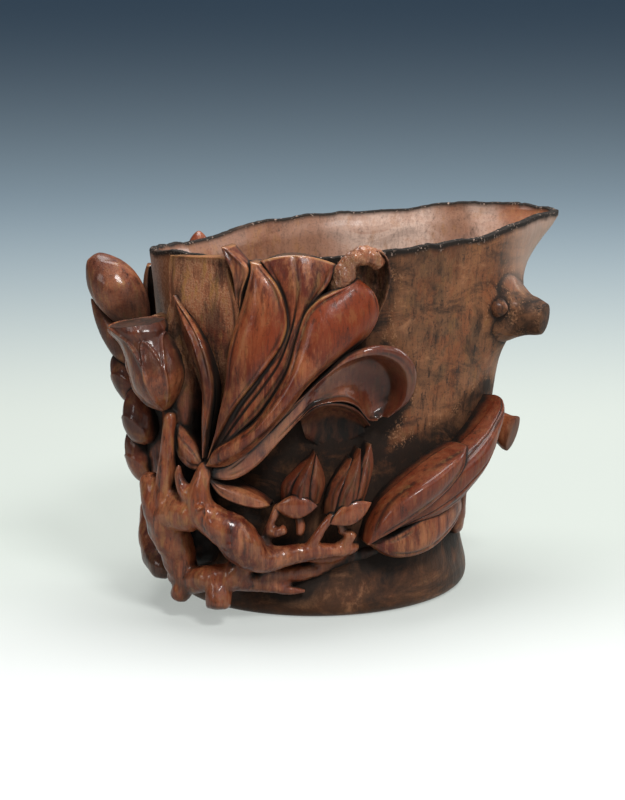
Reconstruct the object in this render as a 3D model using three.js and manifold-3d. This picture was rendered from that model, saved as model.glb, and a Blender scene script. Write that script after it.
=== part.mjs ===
// A bamboo libation cup in the shape of a hollow tree trunk, carved in high relief with a magnolia branch.
// Millimetres, +Z up, the spout along +X, the origin at the middle of the flat foot.
import * as THREE from "three";
import { mergeVertices } from "three/addons/utils/BufferGeometryUtils.js";
import Module from "manifold-3d";

const wasm = await Module();
wasm.setup();

// Driving sizes of the cup
const rimHeight = 95.5; // mean height of the rim
const footHalfLength = 40.5;
const footHalfWidth = 38.1;
const footEdgeRadius = 2.0; // how far the foot's lower edge is rounded in
const neckHalfLength = 38.2;
const neckHalfWidth = 35.4;
const neckHeight = 20;
const rimHalfLength = 53.5; // without the spout
const rimHalfWidth = 36.8;
const rimShift = 6.8; // how far the rim's middle lies towards the spout
const spoutReach = 8.5;
const spoutSpread = 25; // degrees to each side
const spoutStart = 0.76; // share of the height where the spout begins to flare
const wallThickness = 3.2;
const wallThicknessAtFloor = 5.5;
const floorHeight = 17;
const rimSide = 84; // points round a section

// Carving
const clearance = 0.35; // gap between neighbouring pieces
const backing = 1.5; // how far a relief runs into the wall before the wall trims it
const carvingHeight = 95.5; // the outlines below are in millimetres on a cup with a rim this high
const unit = rimHeight / carvingHeight;

const rad = THREE.MathUtils.degToRad;
const clamp = THREE.MathUtils.clamp;
const mix = THREE.MathUtils.lerp;

// Smooth interpolation of a table of [position, value] rows
function along(rows, x) {
  const last = rows.length - 1;
  const at = clamp(x, rows[0][0], rows[last][0]);
  let i = 0;
  while (i < last - 1 && at > rows[i + 1][0]) i++;
  const slope = (k) => {
    const a = rows[Math.max(k - 1, 0)];
    const b = rows[Math.min(k + 1, last)];
    return (b[1] - a[1]) / (b[0] - a[0]);
  };
  const span = rows[i + 1][0] - rows[i][0];
  const u = (at - rows[i][0]) / span;
  const [p, q] = [rows[i][1], rows[i + 1][1]];
  return (
    (2 * u ** 3 - 3 * u ** 2 + 1) * p +
    (u ** 3 - 2 * u ** 2 + u) * span * slope(i) +
    (3 * u ** 2 - 2 * u ** 3) * q +
    (u ** 3 - u ** 2) * span * slope(i + 1)
  );
}

// Shares of the height at which the trunk's section is given, from the foot to the rim
const footRow = 0;
const bulgeRow = 0.05;
const neckRow = neckHeight / rimHeight;
const lowRow = 0.34;
const waistRow = 0.52;
const chestRow = 0.68;
const shoulderRow = 0.82;
const rimRow = 1;
const between = (low, high, share) => mix(low, high, share);
const halfLengths = [
  [footRow, footHalfLength - footEdgeRadius],
  [0.016, footHalfLength - 0.2 * footEdgeRadius],
  [bulgeRow, footHalfLength],
  [0.125, between(neckHalfLength, footHalfLength, 0.4)],
  [neckRow, neckHalfLength],
  [lowRow, between(neckHalfLength, rimHalfLength, 0.19)],
  [waistRow, between(neckHalfLength, rimHalfLength, 0.5)],
  [chestRow, between(neckHalfLength, rimHalfLength, 0.64)],
  [shoulderRow, between(neckHalfLength, rimHalfLength, 0.76)],
  [rimRow, rimHalfLength],
];
const halfWidths = [
  [footRow, footHalfWidth - footEdgeRadius],
  [0.016, footHalfWidth - 0.2 * footEdgeRadius],
  [bulgeRow, footHalfWidth],
  [0.125, between(neckHalfWidth, footHalfWidth, 0.45)],
  [neckRow, neckHalfWidth],
  [lowRow, neckHalfWidth - 0.6],
  [waistRow, neckHalfWidth - 0.6],
  [shoulderRow, between(neckHalfWidth, rimHalfWidth, 0.4)],
  [rimRow, rimHalfWidth],
];
const shifts = [
  [footRow, 0],
  [neckRow, 0.03 * rimShift],
  [waistRow, 0.42 * rimShift],
  [shoulderRow, 0.7 * rimShift],
  [rimRow, rimShift],
];
// The rim's rise and fall round the cup: [degrees from the spout, mm above its mean height]
const rimWave = [
  [-180, -2],
  [-165, -0.6],
  [-148, -0.8],
  [-137, -1.6],
  [-110, -1],
  [-85, 0.3],
  [-70, 1.2],
  [-50, 1.4],
  [-40, 3],
  [-22, 4],
  [0, 3.2],
  [22, 4],
  [40, 3],
  [52, 1.2],
  [68, 0.6],
  [84, -0.3],
  [101, -2],
  [116, -4.6],
  [150, -3.6],
  [180, -2],
];

const wrap = (degrees) => ((((degrees + 180) % 360) + 360) % 360) - 180;
const rimAt = (degrees) => rimHeight + unit * along(rimWave, wrap(degrees));

// A point of the trunk's outer wall, moved outwards by standOff
function wallPoint(degrees, z, standOff = 0) {
  const share = clamp(z / rimHeight, 0, 1.08);
  const a = along(halfLengths, share);
  const e = along(shifts, share);
  const b = along(halfWidths, share);
  const flare = clamp((share - spoutStart) / (1 - spoutStart), 0, 1.1) ** 2;
  const at = (deg) => {
    const t = rad(deg);
    const beak = spoutReach * flare * Math.exp(-((Math.abs(wrap(deg)) / spoutSpread) ** 2));
    return [(a + e * Math.cos(t)) * Math.cos(t) + beak, b * Math.sin(t)];
  };
  const step = 0.01;
  const [x, y] = at(degrees);
  const [x1, y1] = at(degrees + step);
  const [x0, y0] = at(degrees - step);
  const length = Math.hypot(x1 - x0, y1 - y0);
  return new THREE.Vector3(
    x + ((y1 - y0) / length) * standOff,
    y - ((x1 - x0) / length) * standOff,
    z,
  );
}

// A point of the carving: [degrees, height on the outline, mm off the wall]
const carved = (p) => wallPoint(p[0], p[1] * unit, p[2] * unit);

// Geometry helpers
function solidOf(geometry) {
  const bare = geometry.clone();
  bare.deleteAttribute("normal");
  const merged = mergeVertices(bare, 1e-4);
  const index = new Uint32Array(merged.index.array);
  if (solidSign(merged) < 0) {
    for (let i = 0; i < index.length; i += 3) {
      [index[i + 1], index[i + 2]] = [index[i + 2], index[i + 1]];
    }
  }
  return new wasm.Manifold(
    new wasm.Mesh({
      numProp: 3,
      vertProperties: merged.attributes.position.array,
      triVerts: index,
    }),
  );
}

// 1 when the skin faces outwards, -1 when it faces inwards
function solidSign(geometry) {
  const position = geometry.attributes.position;
  const index = geometry.index.array;
  const [a, b, c] = [new THREE.Vector3(), new THREE.Vector3(), new THREE.Vector3()];
  let volume = 0;
  for (let i = 0; i < index.length; i += 3) {
    a.fromBufferAttribute(position, index[i]);
    b.fromBufferAttribute(position, index[i + 1]);
    c.fromBufferAttribute(position, index[i + 2]);
    volume += a.dot(b.cross(c));
  }
  return Math.sign(volume);
}

function geometryOf(solid) {
  const mesh = solid.getMesh();
  const positions = new Float32Array(mesh.numVert * 3);
  for (let i = 0; i < mesh.numVert; i++) {
    positions.set(mesh.vertProperties.subarray(i * mesh.numProp, i * mesh.numProp + 3), i * 3);
  }
  const geometry = new THREE.BufferGeometry();
  geometry.setAttribute("position", new THREE.BufferAttribute(positions, 3));
  geometry.setIndex(new THREE.BufferAttribute(new Uint32Array(mesh.triVerts), 1));
  geometry.computeVertexNormals();
  return geometry;
}

// A closed skin over rings of equal length, with a point at each end
function skin(rings, first, last) {
  const positions = [];
  const index = [];
  const n = rings[0].length;
  rings.flat().forEach((p) => positions.push(p.x, p.y, p.z));
  const bottom = positions.length / 3;
  positions.push(first.x, first.y, first.z, last.x, last.y, last.z);
  for (let j = 0; j < n; j++) {
    const k = (j + 1) % n;
    for (let i = 0; i < rings.length - 1; i++) {
      const [a, b, c, d] = [i * n + j, i * n + k, (i + 1) * n + k, (i + 1) * n + j];
      index.push(a, b, c, a, c, d);
    }
    const top = (rings.length - 1) * n;
    index.push(bottom, k, j, bottom + 1, top + j, top + k);
  }
  const geometry = new THREE.BufferGeometry();
  geometry.setAttribute("position", new THREE.Float32BufferAttribute(positions, 3));
  geometry.setIndex(index);
  return geometry;
}

const around = (n) => Array.from({ length: n }, (_, j) => -180 + (360 * j) / n);
const centre = (ring) =>
  ring.reduce((sum, p) => sum.add(p), new THREE.Vector3()).divideScalar(ring.length);

// The hollow trunk: up the outer wall, over the rim and down the inner wall to the floor
const outerRows = [0, 0.016, 0.05, 0.12, 0.21, 0.34, 0.52, 0.68, 0.8, 0.88, 0.94, 1];
const innerRows = [1, 0.93, 0.86, 0.76, 0.6, 0.42, 0.27];
function cupBody() {
  const angles = around(rimSide);
  const wallAt = (share) => mix(wallThicknessAtFloor, wallThickness, share);
  const outer = outerRows.map((share) =>
    angles.map((deg) => wallPoint(deg, share * rimAt(deg))),
  );
  const inner = innerRows.map((share) =>
    angles.map((deg) => wallPoint(deg, share * rimAt(deg), -wallAt(share))),
  );
  const floorRing = (share, z) => {
    const ring = angles.map((deg) => wallPoint(deg, z, -wallAt(0)));
    const middle = centre(ring);
    return ring.map((p) => p.clone().lerp(middle, 1 - share));
  };
  const floor = [floorRing(0.93, floorHeight + 2), floorRing(0.8, floorHeight)];
  return skin(
    [...outer, ...inner, ...floor],
    new THREE.Vector3(0, 0, 0),
    new THREE.Vector3(0, 0, floorHeight),
  );
}

// The trunk as a filled post, grown by the clearance: it trims the back of every relief
function trunkCutter() {
  const angles = around(rimSide);
  const rows = [-4, ...outerRows.slice(1).map((share) => share * rimHeight), rimHeight * 1.3];
  const rings = rows.map((z) => angles.map((deg) => wallPoint(deg, Math.max(z, 0), clearance)));
  rings[0].forEach((p) => p.setZ(rows[0]));
  rings[rings.length - 1].forEach((p) => p.setZ(rimHeight * 1.3));
  return solidOf(skin(rings, centre(rings[0]), centre(rings[rings.length - 1])));
}

const curveOf = (points) =>
  new THREE.CatmullRomCurve3(
    points.map((p) => new THREE.Vector3(p[0], p[1], p[2])),
    false,
    "centripetal",
  );

// A petal or leaf in relief between a left and a right edge, with a middle line that gives its crown;
// a middle line of plain stand-offs runs halfway between the edges
function relief({ left, middle, right, steps = 12, across = 6, thickness = 0, fullness = 1 }) {
  const crown = middle.map((p, k) =>
    Array.isArray(p) ? p : [mix(left[k][0], right[k][0], 0.5), mix(left[k][1], right[k][1], 0.5), p],
  );
  const [l, m, r] = [left, crown, right].map(curveOf);
  const rings = [];
  for (let i = 0; i <= steps; i++) {
    const [a, b, c] = [l, m, r].map((curve) => curve.getPoint(i / steps));
    const upper = [];
    const lower = [];
    for (let j = 0; j <= across; j++) {
      const v = (2 * j) / across - 1;
      const chart = a
        .clone()
        .multiplyScalar((v * v - v) / 2)
        .addScaledVector(b, 1 - v * v)
        .addScaledVector(c, (v * v + v) / 2);
      const height = mix(v < 0 ? a.z : c.z, b.z, 1 - Math.abs(v) ** (2 * fullness));
      const depth = thickness ? Math.max(height - thickness, -backing) : -backing;
      upper.push(carved([chart.x, chart.y, height]));
      lower.unshift(carved([chart.x, chart.y, depth]));
    }
    rings.push([...upper, ...lower]);
  }
  return skin(rings, centre(rings[0]), centre(rings[rings.length - 1]));
}

// A branch, stem or root along points [degrees, height, mm off the wall, radius]
function branch({ points, steps = 18, sides = 8 }) {
  const path = curveOf(points);
  const last = points.length - 1;
  const radiusAt = (u) => {
    const k = Math.min(Math.floor(u * last), last - 1);
    return unit * mix(points[k][3], points[k + 1][3], u * last - k);
  };
  const centreAt = (u) => {
    const p = path.getPoint(clamp(u, 0, 1));
    return carved([p.x, p.y, p.z]);
  };
  const rings = [];
  for (let i = 0; i <= steps; i++) {
    const u = i / steps;
    const here = centreAt(u);
    const ahead = centreAt(u + 0.02).sub(centreAt(u - 0.02)).normalize();
    const out = here.clone().setZ(0).normalize();
    const sideways = new THREE.Vector3().crossVectors(ahead, out).normalize();
    const up = new THREE.Vector3().crossVectors(sideways, ahead).normalize();
    const end = Math.min(i, steps - i);
    const radius = radiusAt(u) * (end === 0 ? 0.62 : end === 1 ? 0.93 : 1);
    rings.push(
      around(sides).map((deg) =>
        here
          .clone()
          .addScaledVector(sideways, radius * Math.cos(rad(deg)))
          .addScaledVector(up, radius * Math.sin(rad(deg))),
      ),
    );
  }
  const beyond = (u, inside, radius) => {
    const direction = centreAt(u).sub(centreAt(inside)).normalize();
    return centreAt(u).addScaledVector(direction, 0.45 * radius);
  };
  return skin(rings, beyond(0, 0.02, radiusAt(0)), beyond(1, 0.98, radiusAt(1)));
}

// A bud from its stalk to its tip; blunt 1 is an egg, less is more pointed
function bud({ from, to, radius, flat = 1, peak = 0.42, blunt = 0.8, rings = 9, sides = 12 }) {
  const start = carved(from);
  const end = carved(to);
  const axis = end.clone().sub(start);
  const length = axis.length();
  axis.normalize();
  const out = start.clone().add(end).setZ(0).normalize();
  const sideways = new THREE.Vector3().crossVectors(axis, out).normalize();
  const up = new THREE.Vector3().crossVectors(sideways, axis).normalize();
  const bulge = Math.log(0.5) / Math.log(peak);
  const sections = [];
  for (let i = 1; i <= rings; i++) {
    const u = i / (rings + 1);
    const size = unit * radius * Math.sin(Math.PI * u ** bulge) ** blunt;
    sections.push(
      around(sides).map((deg) =>
        start
          .clone()
          .addScaledVector(axis, u * length)
          .addScaledVector(sideways, size * Math.cos(rad(deg)))
          .addScaledVector(up, size * flat * Math.sin(rad(deg))),
      ),
    );
  }
  return skin(sections, start, end);
}

// The pieces of the carving, the foremost first: each is trimmed by those before it
const pieces = [
  // The open magnolia
  [
    "petal_front_large",
    relief({
      left: [
        [-141, 44, 14.5], [-138, 48.5, 14.5], [-133, 51.5, 14], [-127, 55.5, 13],
        [-121.5, 62.5, 12], [-117.5, 69.5, 10.5], [-115.5, 76, 9], [-112.5, 83, 8], [-109, 86, 7.5],
        [-105, 87.8, 7], [-101.5, 89.2, 6.5], [-98, 90.8, 6],
      ],
      middle: [15.5, 17, 17, 17, 16.5, 15.5, 14.2, 13, 12, 11, 9.6, 6.6],
      right: [
        [-141.5, 42.5, 14], [-136.5, 43, 14], [-131.5, 45.5, 13], [-125.5, 50, 12],
        [-118.5, 56.5, 10.5], [-112, 63.5, 9], [-106, 68, 7.5], [-99, 72, 6.5], [-93.5, 76.2, 6],
        [-91.2, 81, 6], [-92.4, 86.4, 6], [-96.5, 90.4, 5.6],
      ],
      steps: 22,
      across: 8,
      fullness: 1.25,
    }),
  ],
  [
    "petal_centre_left",
    relief({
      left: [
        [-141, 45, 14.5], [-138, 51, 14.5], [-136.5, 57, 14], [-135, 64, 12.5],
        [-134.5, 71.5, 10.5], [-133, 77.5, 9], [-130.5, 83.5, 7.5], [-128.5, 90, 6.2],
        [-127.5, 95, 5.2],
      ],
      middle: [15, 16, 15.8, 15, 13.8, 12.8, 11.2, 9, 6],
      right: [
        [-140, 45, 14.5], [-137, 50, 14.5], [-131.5, 59, 14], [-126.5, 65, 13], [-122, 70.5, 12],
        [-118.5, 75.5, 11], [-117, 81, 9.5], [-119, 89, 7.5], [-124, 94.5, 5.8],
      ],
      steps: 16,
      across: 6,
      fullness: 1.3,
    }),
  ],
  [
    "petal_curled_right",
    relief({
      left: [
        [-141.5, 42.4, 13.4], [-135.5, 44, 12.6], [-128.8, 49, 11.2], [-121.5, 55.5, 10.2],
        [-113.2, 62, 10], [-106.8, 67.4, 10.4], [-100.8, 72, 11], [-93.5, 73.8, 11.4],
        [-86.2, 72, 11], [-81, 65.8, 9.8], [-81.6, 58.8, 8.2], [-86.5, 53.8, 5.8],
      ],
      middle: [
        [-141.8, 40.6, 14.2], [-135.5, 41.6, 13.2], [-128.6, 45.6, 11.6], [-121.2, 52, 10],
        [-113.6, 58.2, 8.4], [-108.4, 62.2, 6.6], [-102, 64.5, 4.8], [-95.5, 65.3, 3.4],
        [-91.2, 62.4, 2.6], [-89, 58.6, 2.4], [-88.4, 55.8, 2.8], [-88.8, 53.4, 4.4],
      ],
      right: [
        [-142, 39.4, 14], [-135.5, 39.2, 12.7], [-128.4, 42.6, 10.8], [-121, 48.8, 9.4],
        [-114.4, 54.6, 8.4], [-110.8, 57.4, 7.9], [-106.5, 58.5, 7.4], [-101.5, 58.5, 6.8],
        [-97.5, 57, 6], [-95, 54.5, 5.2], [-93.5, 53, 4.8], [-90.5, 52.4, 4.4],
      ],
      steps: 24,
      across: 8,
      fullness: 0.9,
    }),
  ],
  [
    "petal_under_curl",
    relief({
      left: [
        [-114.5, 55, 7.6], [-109, 58.4, 7.4], [-102.5, 58.6, 6.8], [-97, 56.4, 6], [-92.5, 52, 4.6],
      ],
      middle: [
        [-113.6, 51.5, 3.8], [-107.5, 51.5, 2.2], [-101.5, 51.5, 1.8], [-96.5, 50.8, 1.7],
        [-92.4, 49.6, 1.8],
      ],
      right: [[-112.5, 48, 2.2], [-107, 45, 1.2], [-101, 44, 1], [-96, 45.5, 1], [-92, 47.6, 1.2]],
      steps: 9,
      across: 4,
    }),
  ],
  [
    "petal_side_sliver",
    relief({
      left: [
        [-143, 45, 14], [-142.6, 53.5, 13], [-143.6, 64.5, 10.5], [-148, 72.5, 8], [-154, 79.5, 6],
        [-157.5, 84.5, 4.8],
      ],
      middle: [14.8, 14.6, 12.6, 10.6, 8.2, 5.6],
      right: [
        [-141.5, 45, 14], [-139.5, 54, 13], [-138.6, 63, 11.5], [-141.4, 72, 9.5],
        [-146.6, 78.6, 7.5], [-155.5, 85, 5.2],
      ],
      steps: 12,
      across: 4,
    }),
  ],
  [
    "sepal_below",
    relief({
      left: [
        [-142.5, 40.6, 13.4], [-139, 38.2, 12.4], [-134.5, 36.6, 10.4], [-129.5, 34.4, 8.6],
        [-126.2, 32.2, 7.6],
      ],
      middle: [
        [-142.3, 40, 14], [-139.2, 36.8, 14], [-134.6, 34.6, 12.4], [-129.6, 33, 10],
        [-126, 31.8, 7.9],
      ],
      right: [
        [-142, 39.4, 13.6], [-139.8, 35.2, 13.4], [-135, 32.6, 11.8], [-129.4, 31.2, 9.2],
        [-126, 31.3, 7.6],
      ],
      steps: 8,
      across: 4,
      thickness: 4,
    }),
  ],
  [
    "sepal_left",
    relief({
      left: [[-143.5, 41.2, 13.6], [-148, 41.2, 13.4], [-152.5, 44, 12.6], [-154.8, 52, 10.4]],
      middle: [14.2, 13.8, 13, 10.6],
      right: [[-143, 44, 13.8], [-146, 47.4, 12.2], [-150, 50, 11], [-153.8, 52.6, 10]],
      steps: 8,
      across: 4,
      thickness: 5,
    }),
  ],
  [
    "petal_tip_fold",
    relief({
      left: [[-132.8, 80, 5], [-132.6, 86.5, 6], [-132.8, 92, 6.6], [-136, 98.4, 6]],
      middle: [5.8, 7, 7.8, 6.2],
      right: [[-131.2, 81, 5], [-129.6, 87, 6], [-127.4, 93.2, 6.4], [-132.6, 98, 5.8]],
      steps: 7,
      across: 4,
    }),
  ],
  [
    "petal_top_right",
    relief({
      left: [
        [-102.5, 93, 4.4], [-99.6, 96.2, 5.6], [-95.2, 98, 6.4], [-90.5, 97, 6.8],
        [-88.3, 92.5, 6.4], [-88.3, 85.5, 5.2], [-90.8, 79, 3.6],
      ],
      middle: [
        [-102, 90.6, 5.4], [-99, 93.2, 5.8], [-95.4, 94.6, 4.8], [-92.4, 93.6, 3.4], [-91, 90, 2.6],
        [-90.8, 85.4, 2.2], [-91.8, 80.2, 2.6],
      ],
      right: [
        [-101.5, 87, 5], [-99, 88, 4.8], [-97.2, 88.6, 4.6], [-96.4, 88, 4.2], [-95.6, 86.8, 3.6],
        [-95, 84.4, 3], [-94.4, 81.4, 2.4],
      ],
      steps: 12,
      across: 4,
    }),
  ],
  [
    "petal_back_centre",
    relief({
      left: [
        [-140.5, 45, 14], [-137, 51.5, 13.4], [-132.5, 59.5, 12.6], [-127.5, 65.5, 11.6],
        [-123, 70.5, 10.6], [-119.5, 76, 9.4], [-118.5, 81.5, 8], [-121, 89, 6.2],
        [-124.5, 95.6, 4.6],
      ],
      middle: [14.5, 14.2, 13.6, 13, 12, 10.8, 9.6, 8.4, 5.2],
      right: [
        [-137.5, 46, 14], [-131.5, 51.5, 13], [-126, 56, 12], [-120.5, 62.5, 11], [-116.5, 69, 10],
        [-114.5, 75.5, 8.5], [-111, 82.5, 7], [-104.8, 88.4, 5.6], [-100.6, 92.2, 4.2],
      ],
      steps: 14,
      across: 6,
    }),
  ],
  [
    "petal_back_left",
    relief({
      left: [[-145, 57, 6], [-150, 66, 4.5], [-157.5, 74.5, 3.4], [-161.5, 84, 2.8], [-161, 94.5, 2.4]],
      middle: [7.5, 7, 7, 6.2, 3.4],
      right: [
        [-137, 58, 8], [-133.6, 66, 7.5], [-131.6, 75, 7], [-131.6, 84.5, 6], [-135.6, 95.5, 3.4],
      ],
      steps: 10,
      across: 6,
      fullness: 1.6,
    }),
  ],
  // The gnarled branch at the left and its roots
  [
    "branch_main",
    branch({
      points: [
        [-142, 44, 13.6, 1.6], [-143, 40.5, 15, 2.1], [-144, 36.5, 16.4, 2.8],
        [-144, 31.5, 16.6, 3.9], [-140.5, 28.5, 16.4, 4.2], [-136.5, 26.5, 15.6, 4.7],
        [-133.5, 22.5, 14, 5], [-130, 18.8, 11.5, 4.2], [-124.5, 18.4, 8.6, 3.2],
        [-118, 19.4, 6.8, 2.5], [-111, 19.6, 5.2, 2], [-103.5, 19.4, 3.8, 1.6],
        [-96.5, 20, 2.8, 1.2],
      ],
      steps: 34,
      sides: 10,
    }),
  ],
  [
    "thorn_upper",
    branch({
      points: [
        [-149.5, 43, 16, 0.9], [-149.8, 40, 16.6, 1.4], [-148.5, 36.5, 17, 1.9],
        [-145.5, 34, 17, 2.4],
      ],
      steps: 8,
      sides: 8,
    }),
  ],
  [
    "branch_cross",
    branch({
      points: [[-159.5, 27, 16.4, 4.4], [-152, 29.4, 16.6, 4.3], [-145.5, 30, 16.6, 4.2]],
      steps: 8,
    }),
  ],
  [
    "trunk_left",
    branch({
      points: [
        [-164, 38.5, 15.6, 2.3], [-161.5, 34.5, 16.4, 3.3], [-159.5, 30, 16.8, 4.2],
        [-158, 25, 16.6, 4.9], [-157, 19.5, 15, 4.8], [-156, 14.5, 13, 4.2],
        [-155, 10.5, 11.6, 3.6],
      ],
      steps: 18,
      sides: 10,
    }),
  ],
  [
    "stem_left",
    branch({
      points: [[-154.5, 56, 12, 1.8], [-154.8, 48, 13.8, 2.1], [-155.6, 41, 15.2, 2.4], [-157, 34, 16.4, 2.9]],
      steps: 12,
    }),
  ],
  [
    "root_front",
    branch({
      points: [
        [-161, 12, 11, 3.6], [-153, 10.6, 12, 3.4], [-144.5, 12.4, 12.2, 3.6],
        [-138, 12.4, 9.6, 3.1], [-131, 10.4, 5.6, 2.2], [-124, 8.6, 3, 1.5], [-115.5, 8, 1.8, 0.9],
      ],
      steps: 22,
    }),
  ],
  [
    "root_nub_front",
    bud({
      from: [-142.5, 12, 12.4],
      to: [-141, 2.6, 13.6],
      radius: 3.3,
      blunt: 0.4,
      rings: 6,
    }),
  ],
  [
    "root_nub_side",
    bud({
      from: [-154, 11, 12],
      to: [-156.5, 3, 12.8],
      radius: 2.6,
      blunt: 0.4,
      rings: 6,
    }),
  ],
  [
    "trunk_back_left",
    branch({
      points: [[-186, 26, 9, 2.8], [-183, 19, 10, 3.6], [-177, 13, 9.6, 3.8], [-167, 9, 9, 3.4]],
      steps: 14,
    }),
  ],
  // The buds at the left
  [
    "bud_middle",
    bud({
      from: [-156, 55.5, 12],
      to: [-166.5, 77.8, 12],
      radius: 7.6,
      peak: 0.5,
      blunt: 0.35,
      rings: 11,
    }),
  ],
  [
    "bud_upper",
    bud({
      from: [-179, 74, 5.5],
      to: [-188.5, 92.2, 15.5],
      radius: 6.7,
      peak: 0.5,
      blunt: 0.5,
      rings: 10,
    }),
  ],
  [
    "bud_upper_bract",
    bud({
      from: [-176, 60, 8],
      to: [-190, 80.5, 17],
      radius: 4.2,
      flat: 0.7,
      peak: 0.5,
    }),
  ],
  [
    "bud_third",
    bud({
      from: [-174, 52, 8],
      to: [-186, 67, 11.5],
      radius: 4.9,
      peak: 0.55,
      blunt: 0.5,
    }),
  ],
  ["bud_fourth", bud({ from: [-169, 44.5, 11], to: [-173, 59, 11.5], radius: 5, blunt: 0.5 })],
  ["bud_fifth", bud({ from: [-174.5, 33, 9.6], to: [-177, 47.4, 12.2], radius: 4.6, blunt: 0.5 })],
  [
    "stem_of_buds",
    branch({
      points: [
        [-165, 22, 3, 5.4], [-166, 36, 3, 5.6], [-166, 50, 2.6, 5.6], [-168, 64, 1.8, 5.2],
        [-170, 78, 0.8, 4.2],
      ],
      steps: 16,
      sides: 10,
    }),
  ],
  // The small pods in the middle
  ["small_pod_left", relief({
    left: [[-121, 30, 5], [-122.5, 34, 6], [-119, 38, 6.5], [-114, 41.5, 5.5], [-110.5, 44.3, 4]],
    middle: [[-117, 29.5, 7], [-117, 34, 9.5], [-115.5, 38, 8.5], [-112.5, 41, 7], [-110, 44.4, 4]],
    right: [[-113, 30, 5], [-110.5, 34, 6.5], [-109, 37, 6.5], [-108.5, 40.5, 5.5], [-109.5, 44.2, 4]],
    steps: 8,
    across: 6,
  })],
  ["small_pod_right", relief({
    left: [[-107, 27.5, 6], [-108, 31, 7], [-105, 36, 6.5], [-101, 41, 5], [-98, 43.5, 4]],
    middle: [[-102, 28.5, 8], [-101.5, 33, 9.5], [-99, 38, 8], [-96, 42, 6], [-93, 46, 4]],
    right: [[-97, 30, 6], [-94.5, 33, 6.5], [-92.5, 37, 6], [-91.5, 41, 5], [-91.5, 46.3, 4]],
    steps: 8,
    across: 6,
  })],
  [
    "twig_left",
    branch({
      points: [
        [-128.5, 19, 9, 1.7], [-127.8, 24, 9.4, 1.4], [-125.4, 28.5, 9, 1.2],
        [-123, 32.5, 7.6, 1.2],
      ],
      steps: 8,
      sides: 6,
    }),
  ],
  [
    "twig_centre",
    branch({
      points: [[-116, 19, 7, 1.7], [-112.5, 23, 7.8, 1.4], [-109, 27, 8, 1.2], [-105, 30, 7.4, 1.3]],
      steps: 8,
      sides: 6,
    }),
  ],
  [
    "twig_right",
    branch({
      points: [[-105, 19.4, 4.6, 1.4], [-101.6, 22, 6, 1.3], [-100, 24.6, 6.6, 1.6]],
      steps: 6,
      sides: 6,
    }),
  ],
  // The large bud at the right, with the leaf under it
  [
    "large_bud_sheath",
    relief({
      left: [
        [-96, 22, 5.5], [-94, 26, 6], [-90, 31.5, 6], [-82, 35.5, 5.5], [-74, 38.5, 5],
        [-66, 41, 4.5], [-58, 43, 4],
      ],
      middle: [
        [-95, 21.5, 8], [-90, 26.5, 11], [-84, 31.5, 12.5], [-78, 35, 13], [-71, 38, 12.5],
        [-65, 40.5, 10.5], [-60, 42.5, 6],
      ],
      right: [
        [-95, 21, 6], [-87, 24.5, 8], [-79, 27.8, 8.5], [-73, 30.5, 8.5], [-67, 33.5, 8.5],
        [-63, 38, 8.5], [-60, 42, 5],
      ],
      steps: 12,
      across: 8,
    }),
  ],
  [
    "large_bud_tip",
    relief({
      left: [
        [-84, 25.5, 5], [-76, 31, 6], [-68, 37.4, 6], [-58, 41.8, 5.4], [-48.4, 46.8, 5.4],
        [-41.5, 51, 5.6], [-37.6, 53, 5],
      ],
      middle: [
        [-82, 25.3, 6.5], [-70, 30, 9], [-62, 35, 10.7], [-54, 39.8, 11], [-46, 45.2, 9.6],
        [-40.4, 49.8, 7.6], [-37.2, 52.6, 5.4],
      ],
      right: [
        [-80, 25, 5.5], [-66, 26.5, 7], [-57.5, 29.4, 8], [-49.5, 34.9, 8.4], [-43.4, 41, 8.2],
        [-39.4, 47.4, 6.8], [-37, 52, 5],
      ],
      steps: 12,
      across: 6,
    }),
  ],
  [
    "leaf_lower_right",
    relief({
      left: [
        [-95, 23, 6], [-87.5, 22.6, 6.5], [-79, 24.5, 7], [-68, 28, 6.5], [-57, 29.5, 5],
        [-47.5, 26.5, 3.6],
      ],
      middle: [5.8, 7.4, 7.6, 7, 5.8, 3.8],
      right: [
        [-94.5, 20.5, 5], [-86.5, 16.5, 4.6], [-76.5, 15.4, 4.6], [-64, 17, 4.4], [-52, 21, 4],
        [-46, 24.6, 3.4],
      ],
      steps: 12,
      across: 6,
    }),
  ],
  [
    "stem_lower_right",
    branch({
      points: [[-38, 16.5, 0.8, 2.2], [-43, 20, 1.4, 2.8], [-46, 25, 1.9, 3], [-47, 30, 1.9, 2.4]],
      steps: 8,
    }),
  ],
  [
    "stub_lower_right",
    branch({
      points: [
        [-26, 43, -1, 5.8], [-26.5, 42.8, 3, 4.8], [-27, 42, 6.2, 4.4], [-27.4, 41.4, 8.2, 4.9],
        [-27.6, 41, 9.8, 4.8],
      ],
      steps: 9,
      sides: 12,
    }),
  ],
  [
    "stub_upper_right",
    branch({
      points: [
        [-33, 76.5, -4, 11], [-33, 76, 1, 8], [-33, 75.2, 6, 5.8], [-33, 74.2, 10, 4.5],
        [-33, 73.6, 12.8, 4.1],
      ],
      steps: 12,
      sides: 12,
    }),
  ],
  [
    "knot_upper_right",
    bud({
      from: [-44.5, 77.6, 0],
      to: [-45.5, 77.2, 5.4],
      radius: 2.8,
      rings: 4,
      sides: 8,
    }),
  ],
  // The far side: a second spray that rises from the same root
  [
    "branch_back",
    branch({
      points: [
        [-180, 13, 7.5, 3.6], [-198, 20, 7, 3.6], [-214, 30, 7, 3.2], [-226, 42, 6.5, 2.7],
        [-236, 56, 6, 2.2], [-243, 70, 5, 1.8],
      ],
      steps: 24,
    }),
  ],
  [
    "twig_back",
    branch({
      points: [[-214, 31, 8, 2], [-232, 33, 6.5, 1.7], [-250, 31, 5, 1.4], [-266, 33, 4, 1.1]],
      steps: 16,
      sides: 6,
    }),
  ],
  [
    "bud_rim_back",
    bud({
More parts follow.
